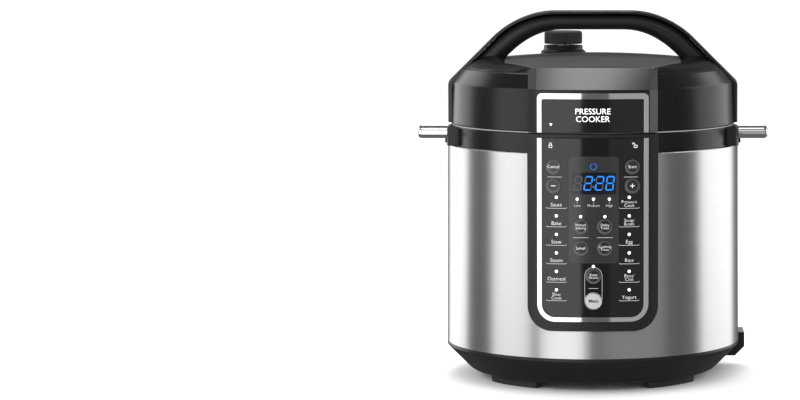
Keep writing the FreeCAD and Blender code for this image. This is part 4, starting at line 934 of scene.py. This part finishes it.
class COOKER_OT_steam_valve(bpy.types.Operator):
    """Builds the flared valve collar and the ribbed steam knob"""
    bl_idname = "cooker.steam_valve"
    bl_label = "Steam Valve"

    def execute(self, context):
        sizes = context.scene.cooker_sizes
        add_piece("valve_collar_form", self.collar(), kept("satin_black"), "lid",
                  ["valve_base"], sharp=40)
        knob = plastic("knob_satin", (0.03, 0.03, 0.032), 0.42, grain=0.3, scale=1200.0)
        add_piece("steam_knob_form", self.knob(sizes), knob, "knob",
                  ["steam_release_knob"], sharp=40)
        return {"FINISHED"}

    def collar(self):
        """A ring whose outside sweeps in from the flange to the neck: r = neck + flare
        (1 - t)^2.6 over the height t."""
        t = np.linspace(0, 1, 14)
        low, high = COLLAR_FLARE_Z
        flare = np.stack([COLLAR_R + COLLAR_FLARE * (1 - t) ** 2.6, low + (high - low) * t], -1)
        sunk, bottom = COLLAR_R + 0.1, SHELF_Z + 0.1
        flange, flange_z = COLLAR_R + COLLAR_FLARE, CROWN_Z - 3.5
        lip, top = COLLAR_R + 0.5, COLLAR_TOP_Z
        profile = np.concatenate([
            [(VALVE_BORE_R, bottom), (sunk, bottom), (sunk, flange_z),
             (flange - 0.2, flange_z), (flange, flange_z + 0.3)], flare,
            [(lip, high + 0.2), (lip, top - 0.8), (lip - 0.6, top - 0.1), (lip - 1.4, top),
             (VALVE_BORE_R, top)]])
        return lathe(profile, 96, VALVE)

    def knob(self, sizes):
        """A capped cylinder whose radius is ribbed by depth |cos(n a / 2)|, with a pointer
        bump exp(-(a / 0.15)^4) on its rear."""
        depth, count = sizes.rib_depth / MM, sizes.rib_count
        low, high = KNOB_Z
        bore, roof, centre = VALVE_BORE_R - 0.1, high - 5.1, 0.02
        profile = rounded_path([
            (bore, low, 0), (KNOB_R, low, 0.8), (KNOB_R, high, 2.6), (centre, high, 0),
            (centre, roof, 0), (bore, roof, 0)], closed=True, steps=7)
        profile = np.concatenate([profile[:8], even(profile[7:9], 6)[1:-1], profile[8:]])

        def swell(angle, z, radius):
            wall = np.clip((radius - KNOB_R + 2.0) / 1.5, 0, 1)
            band = (np.clip((z - low - 1.0) / 0.8, 0, 1)
                    * np.clip((high - 1.3 - z) / 0.8, 0, 1))
            ribs = -depth * np.abs(np.cos(count * angle / 2)) * wall
            off = np.abs(angle - math.pi / 2)
            return ribs + KNOB_POINTER * np.exp(-(off / 0.15) ** 4) * wall * band

        return lathe(profile, 6 * count, VALVE, swell)


class COOKER_OT_seams(bpy.types.Operator):
    """Builds the light band under the lid's edge and the beads round the keys"""
    bl_idname = "cooker.seams"
    bl_label = "Seam Band and Key Beads"

    def execute(self, context):
        band = plastic("seam_grey", (0.3, 0.3, 0.31), 0.3, grain=0.05, edge=0.2)
        inner, outer, bottom, top = *SEAM_R, *SEAM_Z
        profile = rounded_path([(inner, bottom, 0.2), (outer, bottom, 0.2),
                                (outer, top, 0.35), (inner, top, 0.2)], closed=True, steps=4)
        add_piece("lid_seam_band", lathe(profile, 256), band, "cooker_base",
                  sharp=50)
        sizes = context.scene.cooker_sizes
        width, height = sizes.rim_width / MM, sizes.rim_height / MM
        bead = plastic("bead_gloss", (0.05, 0.05, 0.052), 0.14, grain=0.03, scale=300.0,
                       edge=0.1)
        silver = plastic("bead_silver", (0.7, 0.7, 0.71), 0.16, grain=0.03, scale=300.0,
                         edge=0.1, Metallic=1.0)
        for name in KEY_NAMES:
            low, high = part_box("key_" + name)
            x, z = (low.x + high.x) / 2 / MM, (low.z + high.z) / 2 / MM
            radius = (high.x - low.x) / 2 / MM - KEY_FACE_GAP
            add_piece("key_bead_" + name, self.bead(x, z, radius, width, height),
                      silver if name == "menu" else bead, "key_" + name,
                      sharp=70)
        return {"FINISHED"}

    def bead(self, x, z, radius, width, height):
        """A low half-round carried round a circle: depth = face + height sin(u), radius =
        middle + width / 2 cos(u)."""
        turn = np.linspace(0, 2 * math.pi, 72, endpoint=False)[:, None]
        bend = np.linspace(0, math.pi, 9)[None, :]
        middle = radius - width / 2 - 0.1
        out = middle + np.cos(bend) * width / 2 + 0 * turn
        across, up = x + out * np.cos(turn), z + out * np.sin(turn)
        top = FACE_AXIS - np.sqrt((FACE_AXIS + FACE_D - 0.02 + height * np.sin(bend)) ** 2
                                  - across ** 2)
        points = np.stack([across, top, up], -1).reshape(-1, 3)
        return points, grid_faces(72, 9, wrap_rows=True, wrap_cols=True)


def digit_strokes(x, z, width, height, slant, line):
    """The seven bars of a digit as six-sided outlines, a to g, leaning by slant."""
    gap = line * 0.16
    half, quarter = width / 2, height / 4
    level = [(height / 2 - line / 2, "a"), (0.0, "g"), (-height / 2 + line / 2, "d")]
    bars = {}
    for up, label in level:
        a, b = half - line / 2 - gap, line / 2
        bars[label] = np.array([(-a, up), (-a + b, up + b), (a - b, up + b), (a, up),
                                (a - b, up - b), (-a + b, up - b)])
    for side, up, label in ((1, 1, "b"), (1, -1, "c"), (-1, -1, "e"), (-1, 1, "f")):
        u, b = side * (half - line / 2), line / 2
        low, high = up * quarter - quarter + line / 4, up * quarter + quarter - line / 4
        low, high = low + gap, high - gap
        bars[label] = np.array([(u, low), (u + b, low + b), (u + b, high - b), (u, high),
                                (u - b, high - b), (u - b, low + b)])
    for label, outline in bars.items():
        outline[:, 0] += x + outline[:, 1] * slant
        outline[:, 1] += z
    return bars


class COOKER_OT_display(bpy.types.Operator):
    """Builds the display's window, its lit and unlit digits and the clock symbol"""
    bl_idname = "cooker.display"
    bl_label = "Display"

    def execute(self, context):
        tones = context.scene.cooker_colours
        glass = plastic("display_glass", (0.004, 0.005, 0.009), 0.08, spread=0.03,
                        grain=0.01, scale=300.0, edge=0.1)
        window = stroke([(x, DISPLAY_Z) for x in DISPLAY_X], DISPLAY_HIGH,
                        OVERLAY_D - 0.03, 0.08)
        add_piece("display_window", window, glass, "cooker_base")
        lit, unlit = [], []
        lean, depth = 0.13, OVERLAY_D + 0.04
        for x, bars in zip(DIGIT_XS, DIGIT_BARS):
            for label, outline in digit_strokes(x, DIGIT_Z, 8.0, 14.2, lean, 1.35).items():
                (lit if label in bars else unlit).append(slab(outline, depth))
        for dz in (3.4, -3.4):
            lit.append(slab(arc(1.1 + dz * lean, DIGIT_Z + dz, 0.8, 0, 345, 16), depth))
        glow = glowing("digit_glow", tones.glow, 1.3)
        ghost = plastic("digit_ghost", (0.05, 0.051, 0.056), 0.35, grain=0.02, edge=0.05)
        add_piece("display_digits", together(lit), glow, "cooker_base")
        add_piece("display_ghosts", together(unlit), ghost, "cooker_base")
        x, z = CLOCK
        clock = [stroke(arc(x, z, 2.9, 100, 440, 40), 0.55, OVERLAY_D),
                 stroke([(x, z + 2.0), (x, z)], 0.3, OVERLAY_D),
                 stroke([(x, z), (x + 1.3, z)], 0.3, OVERLAY_D)]
        add_piece("clock_symbol", together(clock),
                  glowing("symbol_glow", tones.glow, 1.0), "cooker_base")
        return {"FINISHED"}


class COOKER_OT_legends(bpy.types.Operator):
    """Prints the programme names, their lines and the small symbols on the overlay"""
    bl_idname = "cooker.legends"
    bl_label = "Panel Legends"

    LEFT = ["Sauté", "Bake", "Stew", "Steam", "Oatmeal", "Slow\nCook"]
    RIGHT = ["Pressure\nCook", "Soup/\nBroth", "Egg", "Rice", "Bean/\nChili", "Yogurt"]

    def execute(self, context):
        sizes, tones = context.scene.cooker_sizes, context.scene.cooker_colours
        size, line = sizes.letter_size / MM, sizes.line_width / MM
        # Painted glow: the white ink of the names and symbols emits light, though it is print
        # and no lamp
        ink = glowing("legend_ink_painted_glow", tones.ink, 0.5, base=0.8)
        # Painted glow, dimmer, on the printed lines
        dim = glowing("legend_lines_painted_glow", tones.ink, 0.16, base=0.5)
        words, lines = [], []
        for side, names in ((-1, self.LEFT), (1, self.RIGHT)):
            for row, name in enumerate(names):
                z = ROW_TOP_Z - ROW_PITCH * row
                high = 6.2 if "\n" in name else 7.3
                letters = size * (0.86 if "\n" in name else 1.0)
                words.append(lettering(name, letters, side * COLUMN_X, z - high, OVERLAY_D))
                lines.append(self.tray(side * COLUMN_X, z - 10.6, 9.8, line))
        for x, name in ((-15.0, "Low"), (MIDDLE_X, "Medium"), (16.0, "High")):
            words.append(lettering(name, size * 0.72, x, 185.9, OVERLAY_D))
            lines.append(stroke([(x, 190.0), (x, 187.9)], line * 0.8, OVERLAY_D))
        for x, z, half in ((-36.8, 213.5, 6.8), (36.8, 213.5, 6.8), (-11.7, 154.9, 7.6),
                           (11.7, 154.9, 7.6), (MIDDLE_X, 105.5, 4.6)):
            lines.append(stroke([(x - half, z), (x + half, z)], line, OVERLAY_D))
        lines.append(self.capsule())
        add_piece("panel_words", together(words), ink, "cooker_base")
        add_piece("panel_lines", together(lines), dim, "cooker_base")
        marks = self.padlock(-40.8, 243.4, 0.0) + self.padlock(41.3, 243.4, 2.0)
        add_piece("lock_symbols", together(marks), ink, "cooker_base")
        return {"FINISHED"}

    def tray(self, x, z, half, width):
        """A long line with short upturned ends."""
        line = rounded_path([(x - half, z + 0.9, 0), (x - half + 0.5, z, 0.5),
                             (x + half - 0.5, z, 0.5), (x + half, z + 0.9, 0)], steps=4)
        return stroke(line, width, OVERLAY_D)

    def capsule(self):
        """The outline round the two lowest keys: a half circle over two upright lines."""
        radius, foot = 8.4, 94.5
        top = arc(MIDDLE_X, 117.6, radius, 0, 180, 32)
        line = np.concatenate([[[MIDDLE_X + radius, foot]], top, [[MIDDLE_X - radius, foot]]])
        return stroke(even(line, 90), 0.36, OVERLAY_D)

    def padlock(self, x, z, swing):
        """A ring for the lock's body and a shackle above it, swung aside when open."""
        body = stroke(rounded_path([
            (x - 1.5, z - 1.5, 0.7), (x + 1.5, z - 1.5, 0.7), (x + 1.5, z + 0.9, 0.7),
            (x - 1.5, z + 0.9, 0.7)], closed=True, steps=5), 0.55, OVERLAY_D, closed=True)
        middle = x - swing
        shackle = np.concatenate([[[middle + 1.0, z + 0.9]],
                                  arc(middle, z + 2.1, 1.0, 0, 180, 14),
                                  [[middle - 1.0, z + (1.5 if swing else 0.9)]]])
        return [body, stroke(shackle, 0.5, OVERLAY_D)]


class COOKER_OT_key_marks(bpy.types.Operator):
    """Prints each key's name, which moves with its key"""
    bl_idname = "cooker.key_marks"
    bl_label = "Key Marks"

    NAMES = {"cancel": "Cancel", "start": "Start", "manual": "Manual\nSetting",
             "delay": "Delay\nTimer", "level": "Level", "timer": "Cooking\nTimer",
             "warm": "Keep\nWarm", "menu": "Menu"}

    def execute(self, context):
        size = context.scene.cooker_sizes.letter_size / MM
        dark = plastic("mark_dark", (0.006, 0.006, 0.006), 0.5, grain=0.02, edge=0.05)
        for name in KEY_NAMES:
            low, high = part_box("key_" + name)
            x, z = (low.x + high.x) / 2 / MM, (low.z + high.z) / 2 / MM
            if name in self.NAMES:
                words = self.NAMES[name]
                letters = size * (0.7 if "\n" in words else 0.84)
                shape = lettering(words, letters, x, z, FACE_D,
                                  weight=0.12 if name == "menu" else -0.05)
            else:
                bars = [stroke([(x - 2.2, z), (x + 2.2, z)], 0.6, FACE_D)]
                if name == "plus":
                    bars.append(stroke([(x, z - 2.2), (x, z + 2.2)], 0.6, FACE_D))
                shape = together(bars)
            # The key names and bars use the legend ink with its painted glow; the menu key's
            # dark print has none
            add_piece("key_mark_" + name, shape, dark if name == "menu" else
                      kept("legend_ink_painted_glow"), "key_" + name)
        return {"FINISHED"}


class COOKER_OT_lid_marks(bpy.types.Operator):
    """Prints a plain product word and the closing mark on the lid's front"""
    bl_idname = "cooker.lid_marks"
    bl_label = "Lid Marks"

    def execute(self, context):
        words = [lettering("PRESSURE", 8.0, 0.0, 276.6, OVERLAY_D, weight=0.0),
                 lettering("COOKER", 8.0, 0.0, 269.2, OVERLAY_D, weight=0.0)]
        wedge = [(-42.0, 265.2), (-38.8, 265.2), (-40.4, 262.6)]
        words.append(slab(wedge, OVERLAY_D))
        # Painted glow: the white print on the lid emits light, though it is no lamp
        white = glowing("lid_ink_painted_glow", (0.9, 0.9, 0.9), 0.7, base=0.9)
        add_piece("lid_words", together(words), white, "lid")
        return {"FINISHED"}


MIDDLE = (0.0, 0.0, 0.2)
# name, place, target, width, height (metres) and power (watts)
LIGHTS = [
    ("front_left_box", (-0.63, -1.35, 0.3), (-0.63, 0.0, 0.3), 1.0, 1.6, 8.0),
    ("left_box", (-1.45, -0.676, 0.45), MIDDLE, 1.06, 1.7, 8.7),
    ("left_rear_box", (-1.189, 1.071, 0.45), MIDDLE, 1.16, 1.7, 10.0),
    ("right_rear_box", (1.45, 0.676, 0.45), MIDDLE, 1.6, 1.7, 13.0),
    ("front_right_box", (0.85, -1.356, 0.45), MIDDLE, 1.5, 1.7, 1.9),
    ("high_front_box", (0.0, -1.1, 1.35), MIDDLE, 2.2, 0.6, 4.0),
    ("rear_left_strip", (-0.26, 1.6, 0.38), (-0.16, 0.0, 0.25), 0.18, 0.5, 0.4),
    ("rear_right_strip", (0.26, 1.6, 0.38), (0.16, 0.0, 0.25), 0.18, 0.5, 0.4),
    ("top_box", (-0.12, 0.5, 1.5), (0.0, 0.0, 0.3), 1.1, 0.7, 5.0),
    ("slope_box", (-0.11, 0.41, 1.48), (0.0, -0.135, 0.305), 0.5, 0.2, 3.0),
]


def soft_light(name, place, target, width, height, power):
    """A rectangular area light that looks at a point and isn't seen directly."""
    lamp = bpy.data.lights.new(name, "AREA")
    lamp.shape, lamp.size, lamp.size_y, lamp.energy = "RECTANGLE", width, height, power
    holder = bpy.data.objects.new(name, lamp)
    bpy.context.scene.collection.objects.link(holder)
    holder.location = place
    aim = Vector(target) - Vector(place)
    holder.rotation_euler = aim.to_track_quat("-Z", "Y").to_euler()
    holder.visible_camera = False


class COOKER_OT_studio(bpy.types.Operator):
    """Lays the pale floor and sets up the room, the soft lights and the camera"""
    bl_idname = "cooker.studio"
    bl_label = "Studio"

    def execute(self, context):
        studio = context.scene.cooker_studio
        self.floor(context)
        self.room(context.scene, studio)
        self.lights()
        camera = bpy.data.objects.new("camera", bpy.data.cameras.new("camera"))
        context.scene.collection.objects.link(camera)
        camera.location = (0.0, -studio.camera_distance, studio.camera_height)
        camera.rotation_euler = (math.pi / 2 - studio.camera_tilt, 0.0, 0.0)
        camera.data.lens = studio.camera_lens
        camera.data.shift_x = studio.camera_shift
        context.scene.camera = camera
        context.scene.view_settings.view_transform = "Standard"
        return {"FINISHED"}

    def floor(self, context):
        """A flat square grid, 12 m a side, with a faint unevenness in its finish."""
        side = np.linspace(-6, 6, 13)
        x, y = np.meshgrid(side, side)
        points = np.stack([x, y, 0 * x], -1).reshape(-1, 3)
        mesh = bpy.data.meshes.new("studio_floor")
        mesh.from_pydata(points.tolist(), [], grid_faces(13, 13))
        floor = bpy.data.objects.new("studio_floor", mesh)
        context.scene.collection.objects.link(floor)
        mesh.materials.append(plastic(
            "floor_paint", context.scene.cooker_colours.floor, 0.7, grain=0.05,
            scale=60.0, edge=0.1, mottle=0.01, **{"Specular IOR Level": 0.0}))
        floor.visible_glossy = False

    def room(self, scene, studio):
        """A room that is white behind the object, pale on it, and dim in reflections."""
        world = bpy.data.worlds.new("studio_room")
        world.use_nodes = True
        graph = Graph(world.node_tree)
        shader = world.node_tree.nodes["Background"]
        rays = graph.add("ShaderNodeLightPath").outputs
        level = graph.spread(rays["Is Glossy Ray"], 0.0, 1.0, studio.room_level,
                             studio.room_gloss)
        level = graph.math("MAXIMUM", level, rays["Is Camera Ray"])
        graph.tree.links.new(level, shader.inputs["Strength"])
        shader.inputs["Color"].default_value = (1.0, 1.0, 1.0, 1.0)
        scene.world = world

    def lights(self):
        """Softboxes round the object, from the LIGHTS table."""
        for name, place, target, width, height, power in LIGHTS:
            soft_light(name, place, target, width, height, power)


STEPS = [COOKER_OT_plastics, COOKER_OT_metals, COOKER_OT_panel_faces, COOKER_OT_handle,
         COOKER_OT_side_handles, COOKER_OT_shoulder, COOKER_OT_steam_valve,
         COOKER_OT_seams, COOKER_OT_display, COOKER_OT_legends, COOKER_OT_key_marks,
         COOKER_OT_lid_marks, COOKER_OT_studio]


class COOKER_PT_sidebar(bpy.types.Panel):
    """Lists the steps and their settings"""
    bl_idname = "COOKER_PT_sidebar"
    bl_label = "Pressure Cooker"
    bl_space_type = "VIEW_3D"
    bl_region_type = "UI"
    bl_category = "Cooker"

    def draw(self, context):
        for step in STEPS:
            self.layout.operator(step.bl_idname)
        scene = context.scene
        for group in (scene.cooker_sizes, scene.cooker_colours, scene.cooker_studio):
            box = self.layout.box()
            for name in type(group).__annotations__:
                box.prop(group, name)


GROUPS = {"cooker_sizes": CookerSizes, "cooker_colours": CookerColours,
          "cooker_studio": StudioSettings}
CLASSES = [*GROUPS.values(), *STEPS, COOKER_PT_sidebar]


def register():
    for item in CLASSES:
        bpy.utils.register_class(item)
    for name, group in GROUPS.items():
        setattr(bpy.types.Scene, name, PointerProperty(type=group))


def unregister():
    for name in GROUPS:
        delattr(bpy.types.Scene, name)
    for item in reversed(CLASSES):
        bpy.utils.unregister_class(item)


def main():
    register()
    for step in STEPS:
        family, name = step.bl_idname.split(".")
        getattr(getattr(bpy.ops, family), name)()
    bpy.context.view_layer.update()


if __name__ == "__main__":
    main()
